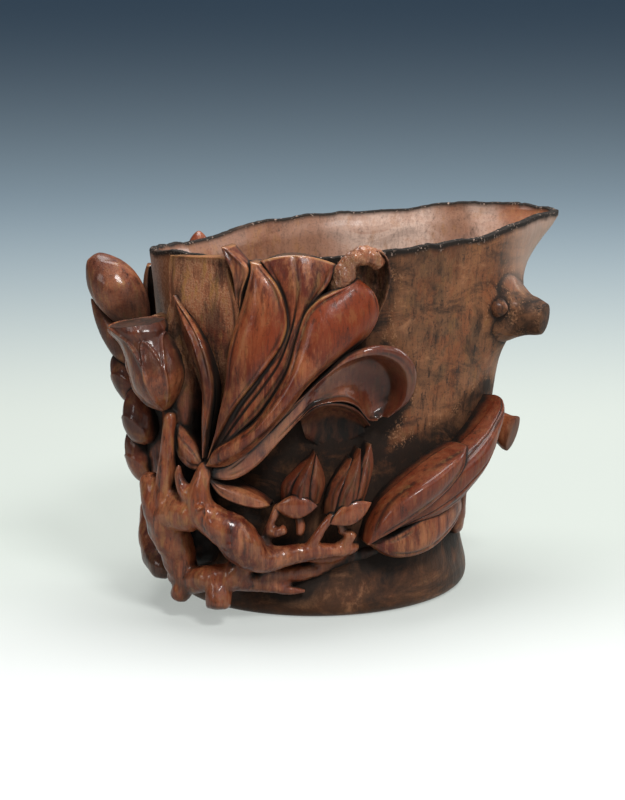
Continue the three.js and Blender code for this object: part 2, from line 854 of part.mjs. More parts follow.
      from: [-244, 73.5, 3.5],
      to: [-246, 92.6, 4],
      radius: 4.5,
      peak: 0.5,
      blunt: 0.6,
    }),
  ],
  ["petal_rim_back", relief({
    left: [[-213, 64, 2.5], [-207, 73, 3], [-206, 80, 3], [-210, 86.5, 2.6]],
    middle: [[-215, 64, 4.5], [-214, 73, 6.2], [-213.5, 80, 5.2], [-213, 87, 3]],
    right: [[-217, 64, 2.5], [-221, 73, 3], [-221, 80, 3], [-216.5, 86.5, 2.6]],
    steps: 8,
    across: 6,
  })],
  ["leaf_back", relief({
    left: [[-268, 31, 3], [-274, 39, 3.5], [-282, 47, 3.5], [-292, 54, 3]],
    middle: [[-269, 30, 4.5], [-278, 36, 6], [-286, 44, 5.5], [-293, 53, 3.5]],
    right: [[-270, 29, 3], [-281, 33, 3.5], [-290, 42, 3.5], [-294, 52, 3]],
    steps: 8,
    across: 6,
  })],
  ["flower_back_petal_left", relief({
    left: [[-243, 68, 5], [-250, 74, 5], [-257, 82, 4], [-262, 89, 3]],
    middle: [[-242, 67, 7], [-248, 70, 8.5], [-256, 77, 7.5], [-264, 87, 3.5]],
    right: [[-241, 65, 5], [-247, 66, 5.5], [-256, 72, 5], [-265, 84, 3]],
    steps: 8,
    across: 6,
  })],
  ["flower_back_petal_right", relief({
    left: [[-242, 62, 5], [-251, 63.5, 5], [-262, 67, 4], [-273, 73, 3]],
    middle: [[-242, 60.5, 7], [-252, 60, 8.5], [-264, 62, 7], [-275, 70, 3.5]],
    right: [[-241, 59, 5], [-251, 56, 5.5], [-263, 57, 5], [-276, 67, 3]],
    steps: 8,
    across: 6,
  })],
];

// Colours of the finish
const finish = (colour, roughness) =>
  new THREE.MeshStandardMaterial({ color: colour, roughness, metalness: 0 });
const bodyFinish = finish(0x7a4326, 0.5);
const carvingFinish = finish(0x70301a, 0.35);

// The same shape with its skin moved outwards by the clearance
function grown(geometry) {
  const bare = geometry.clone();
  bare.computeVertexNormals();
  const position = bare.attributes.position;
  const normal = bare.attributes.normal;
  const outwards = solidSign(bare) * clearance;
  for (let i = 0; i < position.count; i++) {
    position.setXYZ(
      i,
      position.getX(i) + outwards * normal.getX(i),
      position.getY(i) + outwards * normal.getY(i),
      position.getZ(i) + outwards * normal.getZ(i),
    );
  }
  return solidOf(bare).add(solidOf(geometry));
}

function largestBody(solid) {
  const bodies = solid.decompose();
  return bodies.reduce((best, body) => (body.volume() > best.volume() ? body : best));
}

const cup = new THREE.Group();
cup.name = "carved_bamboo_cup";

function addPiece(name, geometry, material) {
  const mesh = new THREE.Mesh(geometry, material);
  mesh.name = name;
  cup.add(mesh);
}

addPiece("cup_body", cupBody(), bodyFinish);
const trims = [trunkCutter()];
for (const [name, shape] of pieces) {
  let solid = solidOf(shape);
  for (const trim of trims) solid = solid.subtract(trim);
  addPiece(name, geometryOf(largestBody(solid)), carvingFinish);
  trims.push(grown(shape));
}

export default cup;
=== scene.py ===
"""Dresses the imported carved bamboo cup: a hollow tree trunk with a magnolia branch in high relief."""
import math

import bpy
import numpy as np
from bpy.props import FloatProperty, FloatVectorProperty, PointerProperty
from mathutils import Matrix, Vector
from mathutils.bvhtree import BVHTree


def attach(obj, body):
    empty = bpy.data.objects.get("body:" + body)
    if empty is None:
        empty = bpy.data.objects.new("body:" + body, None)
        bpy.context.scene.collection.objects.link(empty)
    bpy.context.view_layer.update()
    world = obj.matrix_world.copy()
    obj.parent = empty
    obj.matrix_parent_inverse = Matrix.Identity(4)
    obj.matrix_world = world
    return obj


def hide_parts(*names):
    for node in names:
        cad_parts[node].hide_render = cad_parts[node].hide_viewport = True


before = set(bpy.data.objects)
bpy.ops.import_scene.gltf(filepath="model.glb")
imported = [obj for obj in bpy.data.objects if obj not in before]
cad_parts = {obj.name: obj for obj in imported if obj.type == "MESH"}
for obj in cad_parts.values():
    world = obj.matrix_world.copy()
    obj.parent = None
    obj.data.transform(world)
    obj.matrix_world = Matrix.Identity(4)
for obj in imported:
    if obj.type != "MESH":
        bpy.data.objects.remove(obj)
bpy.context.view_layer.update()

bl_info = {
    "name": "Carved bamboo cup",
    "version": (1, 0, 0),
    "blender": (4, 5, 0),
    "location": "3D View > Sidebar > Bamboo cup",
    "description": "Models a carved bamboo cup over its packed frame",
    "category": "Object",
}

MM = 0.001


# Sizes and colours that a user would change


def length(name, description, default):
    return FloatProperty(name=name, description=description, default=default, unit="LENGTH", precision=4)


def colour(name, description, default):
    return FloatVectorProperty(
        name=name, description=description, default=default, subtype="COLOR", size=3, min=0.0, max=1.0
    )


class BambooCupSizes(bpy.types.PropertyGroup):
    """Driving sizes of the cup."""

    rim_height: length("Rim height", "Mean height of the rim", 95.5 * MM)
    foot_half_length: length("Foot half length", "Half of the foot along the spout", 40.5 * MM)
    foot_half_width: length("Foot half width", "Half of the foot across the spout", 38.1 * MM)
    foot_edge: length("Foot edge", "How far the foot's lower edge is rounded in", 2 * MM)
    neck_half_length: length("Neck half length", "Half of the waist along the spout", 38.2 * MM)
    neck_half_width: length("Neck half width", "Half of the waist across the spout", 35.4 * MM)
    neck_height: length("Neck height", "Height of the waist", 20 * MM)
    rim_half_length: length("Rim half length", "Half of the rim along the spout", 53.5 * MM)
    rim_half_width: length("Rim half width", "Half of the rim across the spout", 36.8 * MM)
    rim_shift: length("Rim shift", "How far the rim's middle lies towards the spout", 6.8 * MM)
    spout_reach: length("Spout reach", "How far the spout stands out at the rim", 8.5 * MM)
    wall: length("Wall at the rim", "Thickness of the wall below the lip", 3.2 * MM)
    lip: length("Lip", "Thickness of the lip itself", 2.1 * MM)
    wall_at_floor: length("Wall at the floor", "Thickness of the wall at the hollow's foot", 5.5 * MM)
    floor_height: length("Floor height", "Height of the hollow's floor", 17 * MM)
    # how far the painted shade of the recesses reaches
    recess_reach: length("Recess reach", "How far off a neighbour darkens a surface", 12 * MM)


class BambooCupColours(bpy.types.PropertyGroup):
    """Colours of the polished bamboo."""

    wall: colour("Wall", "The trunk's worn skin", (0.225, 0.092, 0.041))
    wall_olive: colour("Olive", "Smoky parts of the skin", (0.085, 0.045, 0.023))
    wall_bright: colour("Bright wall", "Rubbed pale parts of the skin", (0.36, 0.165, 0.080))
    # Also painted shade: the skin darker low down, at the foot and at the left beside the flower
    wall_dark_and_shade: colour("Dark wall", "Skin darkened near the rim and the foot", (0.052, 0.022, 0.011))
    wall_red: colour("Red", "Rubbed parts of the skin", (0.22, 0.068, 0.025))
    petal: colour("Petal", "Polished carving", (0.205, 0.051, 0.018))
    petal_bright: colour("Bright petal", "Rubbed crests of the carving", (0.31, 0.115, 0.050))
    petal_deep: colour("Deep petal", "Shaded red of the carving", (0.080, 0.013, 0.006))
    inside: colour("Inside", "The hollow", (0.25, 0.125, 0.078))
    gold: colour("Gold", "Old varnish that shines through the wear", (0.27, 0.125, 0.042))
    blush: colour("Blush", "Deep red lacquer-like parts of the petals", (0.155, 0.026, 0.007))
    dusk: colour("Dusk", "Dark red of the buds in the shade", (0.034, 0.010, 0.006))
    tan: colour("Tan", "Pale dry crust between the carvings", (0.32, 0.155, 0.082))
    # Painted reflection: the pale patches of the hollow, the sheen of the spout and the glints on the lip
    painted_sheen: colour("Sheen", "Pale worn patches of the hollow", (0.56, 0.40, 0.32))
    # Soot and wax in pores and grooves, and also painted shade in the recesses
    patina: colour("Patina", "Soot and wax in the recesses", (0.0095, 0.0068, 0.0052))
    lip: colour("Lip", "The blackened edge of the rim", (0.013, 0.010, 0.008))


# Curves and the trunk's wall


def hermite(rows, x):
    """Smooth interpolation of [position, value] rows at every x."""
    rows = np.asarray(rows, float)
    spots, values = rows[:, 0], rows[:, 1]
    slopes = np.empty(len(rows))
    slopes[1:-1] = (values[2:] - values[:-2]) / (spots[2:] - spots[:-2])
    slopes[0] = (values[1] - values[0]) / (spots[1] - spots[0])
    slopes[-1] = (values[-1] - values[-2]) / (spots[-1] - spots[-2])
    x = np.clip(x, spots[0], spots[-1])
    i = np.clip(np.searchsorted(spots, x) - 1, 0, len(rows) - 2)
    span = spots[i + 1] - spots[i]
    u = (x - spots[i]) / span
    return (
        (2 * u**3 - 3 * u**2 + 1) * values[i]
        + (u**3 - 2 * u**2 + u) * span * slopes[i]
        + (3 * u**2 - 2 * u**3) * values[i + 1]
        + (u**3 - u**2) * span * slopes[i + 1]
    )


def rail(points, u):
    """A centripetal curve through the points, read at every u from 0 to 1."""
    points = np.asarray(points, float)
    count = len(points)
    padded = np.vstack([2 * points[0] - points[1], points, 2 * points[-1] - points[-2]])
    place = np.clip(np.asarray(u, float), 0, 1) * (count - 1)
    i = np.minimum(place.astype(int), count - 2)
    t = (place - i)[..., None]
    p0, p1, p2, p3 = (padded[i + k] for k in range(4))
    spread = min(points.shape[1], 3)
    d0, d1, d2 = (
        np.maximum(np.linalg.norm((b - a)[..., :spread], axis=-1) ** 0.5, 1e-4)[..., None]
        for a, b in ((p0, p1), (p1, p2), (p2, p3))
    )
    t1 = ((p1 - p0) / d0 - (p2 - p0) / (d0 + d1) + (p2 - p1) / d1) * d1
    t2 = ((p2 - p1) / d1 - (p3 - p1) / (d1 + d2) + (p3 - p2) / d2) * d1
    return (
        (2 * t**3 - 3 * t**2 + 1) * p1
        + (t**3 - 2 * t**2 + t) * t1
        + (3 * t**2 - 2 * t**3) * p2
        + (t**3 - t**2) * t2
    )


def blend(a, b, share):
    return a + (b - a) * share


def smooth(low, high, x):
    """0 below low, 1 above high, and an even curve between."""
    t = np.clip((x - low) / (high - low), 0, 1)
    return t * t * (3 - 2 * t)


def lump(x, middle, width):
    """A bell of height 1."""
    return np.exp(-(((x - middle) / width) ** 2))


def wrapped(degrees):
    return (np.asarray(degrees, float) + 180) % 360 - 180


def ripple(position, scale, seed=0.0):
    """Cheap smooth noise between about -1 and 1 from a few waves in unlike directions."""
    ways = ((1.0, 0.3, 0.2), (-0.4, 1.1, 0.5), (0.2, -0.7, 1.3), (0.9, 0.8, -0.6), (-1.2, 0.5, 0.9))
    total = np.zeros(position.shape[:-1])
    for k, way in enumerate(ways):
        phase = position @ np.array(way) * (1 + 0.37 * k) / scale + 1.7 * k + seed
        total = total + np.sin(phase + 0.8 * np.sin(0.6 * phase + k)) / (1 + 0.35 * k)
    return total / 3.2


class Trunk:
    """The outer wall of the cup, as points for each angle, height and stand-off."""

    # The rim's rise and fall: degrees from the spout, millimetres above its mean height
    WAVE = (
        (-180, -2), (-165, -0.6), (-148, -0.8), (-137, -1.6), (-110, -1), (-85, 0.3), (-70, 1.2),
        (-50, 1.4), (-40, 3), (-22, 4), (0, 3.2), (22, 4), (40, 3), (52, 1.2), (68, 0.6), (84, -0.3),
        (101, -2), (116, -4.6), (150, -3.6), (180, -2),
    )  # fmt: skip
    SPREAD = 25  # degrees of the spout to each side
    FLARE_FROM = 0.76  # share of the height

    def __init__(self, sizes):
        self.height = sizes.rim_height
        neck = sizes.neck_height / sizes.rim_height
        low, high = sizes.neck_half_length, sizes.rim_half_length
        foot, edge = sizes.foot_half_length, sizes.foot_edge
        self.lengths = (
            (0, foot - edge), (0.016, foot - 0.2 * edge), (0.05, foot), (0.125, blend(low, foot, 0.4)),
            (neck, low), (0.34, blend(low, high, 0.19)), (0.52, blend(low, high, 0.5)),
            (0.68, blend(low, high, 0.64)), (0.82, blend(low, high, 0.76)), (1, high),
        )  # fmt: skip
        low, high, foot = sizes.neck_half_width, sizes.rim_half_width, sizes.foot_half_width
        self.widths = (
            (0, foot - edge), (0.016, foot - 0.2 * edge), (0.05, foot), (0.125, blend(low, foot, 0.45)),
            (neck, low), (0.34, low - 0.6 * MM), (0.52, low - 0.6 * MM), (0.82, blend(low, high, 0.4)),
            (1, high),
        )  # fmt: skip
        shift = sizes.rim_shift
        self.shifts = ((0, 0), (neck, 0.03 * shift), (0.52, 0.42 * shift), (0.82, 0.7 * shift), (1, shift))
        self.reach = sizes.spout_reach

    def rim_at(self, degrees):
        return self.height + hermite(self.WAVE, wrapped(degrees)) * MM

    def plan(self, degrees, height):
        share = np.clip(height / self.height, 0, 1.08)
        t = np.radians(degrees)
        flare = np.clip((share - self.FLARE_FROM) / (1 - self.FLARE_FROM), 0, 1.1) ** 2
        beak = self.reach * flare * np.exp(-((np.abs(wrapped(degrees)) / self.SPREAD) ** 2))
        x = (hermite(self.lengths, share) + hermite(self.shifts, share) * np.cos(t)) * np.cos(t) + beak
        return x, hermite(self.widths, share) * np.sin(t)

    def point(self, degrees, height, off=0.0):
        """Points off the wall, with every length in metres."""
        degrees, height, off = np.broadcast_arrays(
            np.asarray(degrees, float), np.asarray(height, float), np.asarray(off, float)
        )
        x, y = self.plan(degrees, height)
        x1, y1 = self.plan(degrees + 0.05, height)
        x0, y0 = self.plan(degrees - 0.05, height)
        size = np.hypot(x1 - x0, y1 - y0)
        return np.stack([x + (y1 - y0) / size * off, y - (x1 - x0) / size * off, height], -1)

    def carved(self, chart):
        """Points of the carving, from rows of degrees, height and stand-off in millimetres."""
        chart = np.asarray(chart, float)
        return self.point(chart[..., 0], chart[..., 1] * MM, chart[..., 2] * MM)

    def beyond(self, places):
        """The chart's degrees at each place, and how far it lies outside the wall at its height."""
        way = np.degrees(np.arctan2(places[:, 1], places[:, 0]))
        degrees = way
        for _ in range(8):
            x, y = self.plan(degrees, places[:, 2])
            degrees = degrees + wrapped(way - np.degrees(np.arctan2(y, x)))
        x, y = self.plan(degrees, places[:, 2])
        return wrapped(degrees), np.hypot(places[:, 0], places[:, 1]) - np.hypot(x, y)


def trunk():
    return Trunk(bpy.context.scene.bamboo_cup_sizes)


# Modelling helpers


def deselect():
    if bpy.context.object and bpy.context.object.mode != "OBJECT":
        bpy.ops.object.mode_set(mode="OBJECT")
    bpy.ops.object.select_all(action="DESELECT")


def vectors(mesh, key="co"):
    """The places of a mesh's vertices, or their normals, one row each."""
    rows = np.empty(3 * len(mesh.vertices))
    mesh.vertices.foreach_get(key, rows)
    return rows.reshape(-1, 3)


def settled(piece, *nodes, wall=False, slot="bamboo_carving"):
    """Finishes a piece: outward smooth faces, its finish, its body and its nodes; slot is not used."""
    deselect()
    piece.select_set(True)
    bpy.context.view_layer.objects.active = piece
    bpy.ops.object.mode_set(mode="EDIT")
    bpy.ops.mesh.select_all(action="SELECT")
    bpy.ops.mesh.normals_make_consistent(inside=False)
    bpy.ops.object.mode_set(mode="OBJECT")
    bpy.ops.object.shade_smooth()
    piece.data.materials.clear()
    piece.data.materials.append(wall_material() if wall else carving_material())
    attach(piece, "root")
    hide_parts(*nodes)
    return piece


def shaped(name, shape, around=48, along=64):
    """Adds a sphere and moves each vertex to the place that shape(u, w) gives it.

    u runs from the lower pole to the upper one and w once round, both from 0 to 1.
    """
    deselect()
    bpy.ops.mesh.primitive_uv_sphere_add(segments=around, ring_count=along, radius=1)
    piece = bpy.context.object
    piece.name = piece.data.name = name
    places = vectors(piece.data)
    u = 1 - np.arccos(np.clip(places[:, 2], -1, 1)) / math.pi
    u = np.round(u * along) / along
    w = np.round(np.arctan2(places[:, 1], places[:, 0]) / math.tau * around) / around % 1
    piece.data.vertices.foreach_set("co", np.asarray(shape(u, w)).ravel())
    piece.data.update()
    return piece


def joined(name, parts):
    """Joins pieces into the first one."""
    deselect()
    for part in parts:
        part.select_set(True)
    bpy.context.view_layer.objects.active = parts[0]
    bpy.ops.object.join()
    parts[0].name = parts[0].data.name = name
    return parts[0]


def modified(piece, kind, **settings):
    """Adds a modifier and applies it."""
    deselect()
    piece.select_set(True)
    bpy.context.view_layer.objects.active = piece
    modifier = piece.modifiers.new(kind.title(), kind)
    for key, value in settings.items():
        setattr(modifier, key, value)
    bpy.ops.object.modifier_apply(modifier=modifier.name)
    return piece


def roughened(piece, waves):
    """Raises and lowers the skin of a piece by waves of (height, length) in millimetres."""
    mesh = piece.data
    places, normals = vectors(mesh), vectors(mesh, "normal")
    for k, (height, span) in enumerate(waves):
        wave = ripple(places * (1, 1, 0.45) / MM, span, seed=3.1 * k)
        places = places + normals * (height * MM * wave)[:, None]
    mesh.vertices.foreach_set("co", places.ravel())
    mesh.update()


def marked(piece, **marks):
    """Writes a number for each vertex under each name."""
    for name, values in marks.items():
        layer = piece.data.attributes.get(name) or piece.data.attributes.new(name, "FLOAT", "POINT")
        layer.data.foreach_set("value", np.asarray(values, float))
    return piece


def run_of(value, t):
    """A number, or rows of (share of the length, value), read at every t."""
    return hermite(value, t) if np.ndim(value) == 2 else np.full(np.shape(t), float(value))


def carved_relief(name, around=96, along=150, *, left, middle, right, **form):
    """A petal, leaf or sheath in relief between two edges, with a middle line that gives its crown.

    A middle line of plain stand-offs runs halfway between the edges.

    form, in millimetres where it is a length: fullness of the crown; lip_left and lip_right, the
    heights of the raised edges, and lip_width; roll_left and roll_right, the widths of rolled rims
    beside a hollow; dish, which hollows the middle; edge and tip, which round the sides and the
    end; under, the share by which the sides are cut under; folds of (place across, depth, width)
    that run along it; crown, which raises the far end; depth, where its underside lies; wear, the
    height of its worn waves; and blush and soot, for its red and its dark parts. Most of them may
    be rows of (share of the length, value).
    """
    wall = trunk()
    marks = {}
    seed = len(name)
    if np.ndim(middle) == 1:
        middle = [[(a[0] + c[0]) / 2, (a[1] + c[1]) / 2, b] for a, b, c in zip(left, middle, right)]
    edge = form.get("edge", 0.8)
    root = form.get("depth", -1.0)
    face = 0.7  # share of the way round that lies on the face

    def shape(u, w):
        ring = np.clip(np.round(u * along), 0, along)
        pole = (ring == 0) | (ring == along)
        t = np.clip((ring - 1) / (along - 2), 0, 1)
        a, b, c = (rail(line, t) for line in (left, middle, right))

        def given(key, default=0):
            return run_of(form.get(key, default), t)

        # v runs across the face from -1 to 1 and comes back along the underside
        back = np.clip((w - face) / (1 - face), 0, 1)
        v = np.sin(math.pi * (np.minimum(w, face) / face - 0.5))
        v = np.where(w <= face, v, np.cos(math.pi * back))
        size = np.abs(v)

        def sided(key):
            return np.where(v < 0, given(key + "_left"), given(key + "_right"))

        half = np.linalg.norm(wall.carved(a) - wall.carved(c), axis=1) / 2 / MM
        inward = (1 - size) * half
        lip_reach = given("lip_width", 0.9)
        chart = a * ((v * v - v) / 2)[:, None] + b * (1 - v * v)[:, None] + c * ((v * v + v) / 2)[:, None]
        side_height = np.where(v < 0, a[:, 2], c[:, 2])
        height = blend(side_height, b[:, 2], 1 - size ** (2 * form.get("fullness", 1.0)))
        swell = np.sqrt(np.clip(np.minimum(t, 1 - t) * 8, 0, 1))
        height = height - given("dish") * (1 - v * v) ** 2 * swell
        lip = sided("lip")
        raised = lump(inward, 0.55 * lip_reach, lip_reach)
        height = height + lip * raised * np.minimum(swell, half / lip_reach)

        # A broken groove is cut inside each edge and along each fold, and the edges are rubbed bright
        broken = smooth(-0.5, 0.2, ripple(chart * (1, 1, 0.2), 4.0, seed=2.0 * seed))
        groove = lump(inward, 1.9 * lip_reach, 0.32) * np.minimum(1, half / 3) * swell * broken
        chart[:, 1] += form.get("crown", 0) * (1 - v * v) * smooth(0.86, 1, t)
        for place, depth, width in form.get("folds", ()):
            height = height - depth * lump(v, place, width) * swell
            groove = np.maximum(groove, lump(v, place, 0.6 * width) * swell)
        groove = np.where(w > face, 0, groove)
        height = height - 0.22 * groove
        crest = np.minimum(lip, 1) * lump(inward, 0.45 * lip_reach, 0.4 * lip_reach) * broken
        crest = np.where(w > face, 0, crest)
        marks.update(groove=groove, crest=crest, blush=given("blush"), soot=given("soot"))

        roll = np.clip(sided("roll"), 1e-4, 0.6 * half + 1e-4)
        curl = np.sqrt(np.clip(1 - ((inward - 0.5 * roll) / (0.62 * roll)) ** 2, 0, 1))
        height = blend(side_height + 0.36 * roll * curl, height, smooth(0.72 * roll, 1.3 * roll, inward))
        rounding = np.clip((edge - inward) / edge, 0, 1) * np.clip(half / edge, 0, 1)
        height = height - edge * (1 - np.sqrt(1 - rounding**2 * 0.999))
        ending = np.clip((t - 0.94) / 0.06, 0, 1)
        height = height - form.get("tip", 0) * (1 - np.sqrt(1 - ending**2 * 0.999))
        height = height + form.get("wear", 0.12) * ripple(chart * (0.7, 1, 0.4), 3.1, seed=seed)
        height = height + 0.04 * ripple(chart * (0.8, 1, 0.5), 0.34, seed=seed)

        down = np.minimum(back, 1 - back) * 2
        height = np.where(w > face, blend(height, root, smooth(0.0, 0.55, down)), height)
        tuck = form.get("under", 0.2) * smooth(0.0, 0.5, down)
        flat = np.where((w > face)[:, None], blend(chart[:, :2], b[:, :2], tuck[:, None]), chart[:, :2])
        places = wall.carved(np.column_stack([flat, height]))
        cap_height = np.maximum(0.5 * (b[:, 2] + root), b[:, 2] - 1.5 * (root < 0))
        cap = wall.carved(np.column_stack([b[:, :2], cap_height]))
        return np.where(pole[:, None], cap, places)

    return marked(shaped(name, shape, around, along), **marks)


def limb(name, points, around=24, along=48, gnarl=0.0, seed=0.0):
    """A branch, stem or root along rows of degrees, height, stand-off and radius in millimetres."""
    wall = trunk()

    def shape(u, w):
        line = rail(points, u)
        here = wall.carved(line[:, :3])
        ahead = wall.carved(rail(points, u + 0.01)[:, :3]) - wall.carved(rail(points, u - 0.01)[:, :3])
        ahead /= np.linalg.norm(ahead, axis=1, keepdims=True)
        out = here * (1, 1, 0)
        out /= np.linalg.norm(out, axis=1, keepdims=True)
        side = np.cross(ahead, out)
        side /= np.linalg.norm(side, axis=1, keepdims=True)
        up = np.cross(side, ahead)
        radius = line[:, 3] * MM
        run = np.minimum(u, 1 - u) * len(points) * 2.2
        taper = np.sqrt(1 - (1 - np.clip(run, 0, 1)) ** 2)
        angle = w * math.tau
        ring = side * np.cos(angle)[:, None] + up * np.sin(angle)[:, None]
        if gnarl:
            bumps = ripple((here + ring * radius[:, None]) / MM, 2.6, seed)
            radius = radius * (1 + gnarl * bumps)
        return here + ring * (radius * taper)[:, None]

    return shaped(name, shape, around, along)


def pod(name, start, end, radius, around=64, along=72, **form):
    """A bud from its stalk to its tip.

    form: flat across its depth; peak, the share of the length where it is widest, and blunt ends,
    or else a profile of (share of the length, share of the radius); open, the depth in millimetres
    of a mouth at its tip; slant, by how much of the radius one side stands higher; bow, how far its
    middle leans to the side; scales of (angle, half width, reach, height) that overlap on it; and
    soot, for its dark parts, as in a relief.
    """
    wall = trunk()
    start, end = wall.carved([start])[0], wall.carved([end])[0]
    axis = end - start
    size = np.linalg.norm(axis)
    axis /= size
    out = (start + end) * (1, 1, 0)
    out /= np.linalg.norm(out)
    side = np.cross(axis, out)
    side /= np.linalg.norm(side)
    up = np.cross(side, axis)
    marks = {}
    bulge = math.log(0.5) / math.log(form.get("peak", 0.42))
    brim = 0.84 if form.get("open") else 1.0  # share of the rings up to the mouth

    def shape(u, w):
        # Rings crowd towards both ends, so that blunt ends stay round
        v = 0.5 - 0.5 * np.cos(math.pi * np.minimum(u / brim, 1))
        mouth = np.clip((u - brim) / (1.0001 - brim), 0, 1)
        marks["soot"] = np.maximum(0.4 * smooth(0.02, 0.2, mouth), run_of(form.get("soot", 0), v))
        angle = w * math.tau
        profile = np.sin(math.pi * np.clip(v, 1e-6, 1 - 1e-6) ** bulge) ** form.get("blunt", 0.8)
        if "profile" in form:
            ends = np.sin(math.pi * np.minimum(u, 1 if brim == 1 else 0.5)) ** 0.35
            profile = hermite(form["profile"], v) * ends * np.cos(math.pi / 2 * mouth)
        reach = radius * MM * profile
        for turn, width, tip, height in form.get("scales", ()):
            gap = np.abs(wrapped(np.degrees(angle) - turn)) / width
            bound = np.sqrt(np.clip(1 - (v / tip) ** 2.2, 0, 1)) - gap
            lifted = height * MM * (0.45 + 0.55 * smooth(0.22, 0, bound))
            ending = smooth(1.001, 0.9, v if brim == 1 else mouth)
            reach = reach + smooth(-0.06, 0.06, bound) * lifted * smooth(0, 0.12, v) * ending
        waves = ripple(np.column_stack([angle * 4, v * 9, v * 0]), 1.3, seed=len(name))
        reach = reach * (1 + 0.02 * waves)
        ring = side * np.cos(angle)[:, None] + up * (form.get("flat", 1) * np.sin(angle))[:, None]
        along_axis = v * size - form.get("open", 0) * MM * np.sin(math.pi / 2 * mouth)
        along_axis = along_axis - form.get("slant", 0) * np.cos(angle) * reach * smooth(0.3, 1, v)
        sag = 4 * form.get("bow", 0) * MM * v * (1 - v)
        return start + axis * along_axis[:, None] + side * sag[:, None] + ring * reach[:, None]

    return marked(shaped(name, shape, around, along), **marks)


# Materials


class Value:
    """A shader socket that takes part in sums, products and comparisons."""

    def __init__(self, tree, socket):
        self.tree, self.socket = tree, socket

    def math(self, operation, *others, clamp=False):
        inputs = dict(enumerate((self, *others)))
        return self.tree.node("ShaderNodeMath", {"operation": operation, "use_clamp": clamp}, inputs)

    def __add__(self, other):
        return self.math("ADD", other)

    __radd__ = __add__

    def __sub__(self, other):
        return self.math("SUBTRACT", other)

    def __rsub__(self, other):
        return self.tree.node("ShaderNodeMath", {"operation": "SUBTRACT"}, {0: other, 1: self})

    def __mul__(self, other):
        return self.math("MULTIPLY", other)

    __rmul__ = __mul__

    def __rtruediv__(self, other):
        return self.tree.node("ShaderNodeMath", {"operation": "DIVIDE"}, {0: other, 1: self})

    def clamped(self):
        return self.math("ADD", 0.0, clamp=True)

    def ramp(self, low, high):
        """0 at low, 1 at high, smooth between."""
        inputs = {"Value": self, "From Min": low, "From Max": high}
        return self.tree.node("ShaderNodeMapRange", {"interpolation_type": "SMOOTHSTEP"}, inputs)


class Finish:
    """A material with its shader, to which nodes are added."""

    def __init__(self, name, **constants):
        self.material = bpy.data.materials.new(name)
        self.material.use_nodes = True
        self.nodes = self.material.node_tree.nodes
        self.links = self.material.node_tree.links
        self.shader = self.nodes["Principled BSDF"]
        for key, value in constants.items():
            self.shader.inputs[key.replace("_", " ")].default_value = value

    def node(self, kind, settings=None, inputs=None, output=0):
        node = self.nodes.new(kind)
        for key, value in (settings or {}).items():
            setattr(node, key, value)
        for key, value in (inputs or {}).items():
            self.plug(node.inputs[key], value)
        return Value(self, node.outputs[output])

    def plug(self, socket, value):
        if isinstance(value, Value):
            self.links.new(value.socket, socket)
        elif hasattr(value, "__len__") and len(value) == 3 and socket.type == "RGBA":
            socket.default_value = (*value, 1)
        else:
            socket.default_value = value

    def place(self, stretch=(1, 1, 1)):
        spot = self.node("ShaderNodeTexCoord", output="Object")
        return self.node("ShaderNodeMapping", {}, {"Vector": spot, "Scale": stretch})

    def noise(self, scale, stretch=(1, 1, 1), detail=4.0, rough=0.55, warp=0.0):
        inputs = {"Vector": self.place(stretch), "Scale": scale, "Detail": detail}
        inputs.update({"Roughness": rough, "Distortion": warp})
        return self.node("ShaderNodeTexNoise", {}, inputs)

    def across(self, low, high, axis="X"):
        """0 where the coordinate is low, 1 where it is high, in metres."""
        return self.node("ShaderNodeSeparateXYZ", {}, {"Vector": self.place()}, axis).ramp(low, high)

    def upright(self, low, high):
        return self.across(low, high, "Z")

    def attribute(self, name):
        return self.node("ShaderNodeAttribute", {"attribute_name": name}, output="Fac")

    def mix(self, a, b, share):
        return self.node("ShaderNodeMix", {"data_type": "RGBA"}, {"Factor": share, 6: a, 7: b}, output=2)

    def lay(self, colour, share=None):
        """Starts the skin with a colour, or lays one over a share of it."""
        self.skin = colour if share is None else self.mix(self.skin, colour, share)

    def set(self, socket, value):
        self.plug(self.shader.inputs[socket], value)

    def finished(self, roughness, coat, height, strength, distance):
        """Sets the shader from the skin, its roughness, its coat and its relief."""
        self.set("Base Color", self.skin)
        self.set("Roughness", roughness)
        self.set("Coat Weight", coat.clamped())
        inputs = {"Height": height, "Strength": strength, "Distance": distance}
        self.set("Normal", self.node("ShaderNodeBump", {}, inputs))
        return self.material


def fibres(finish, strength):
    """Fine upright fibres of the bamboo and the short dark flecks between them."""
    fine = finish.noise(1100, (1, 1, 0.05), detail=3)
    coarse = finish.noise(300, (1, 1, 0.08), detail=4, rough=0.6)
    flecks = coarse.ramp(0.58, 0.70) * finish.noise(110, detail=3).ramp(0.46, 0.62)
    return fine, flecks * strength


def coarse_grain(finish):
    return finish.noise(140, (1, 1, 0.16), detail=4, rough=0.6)


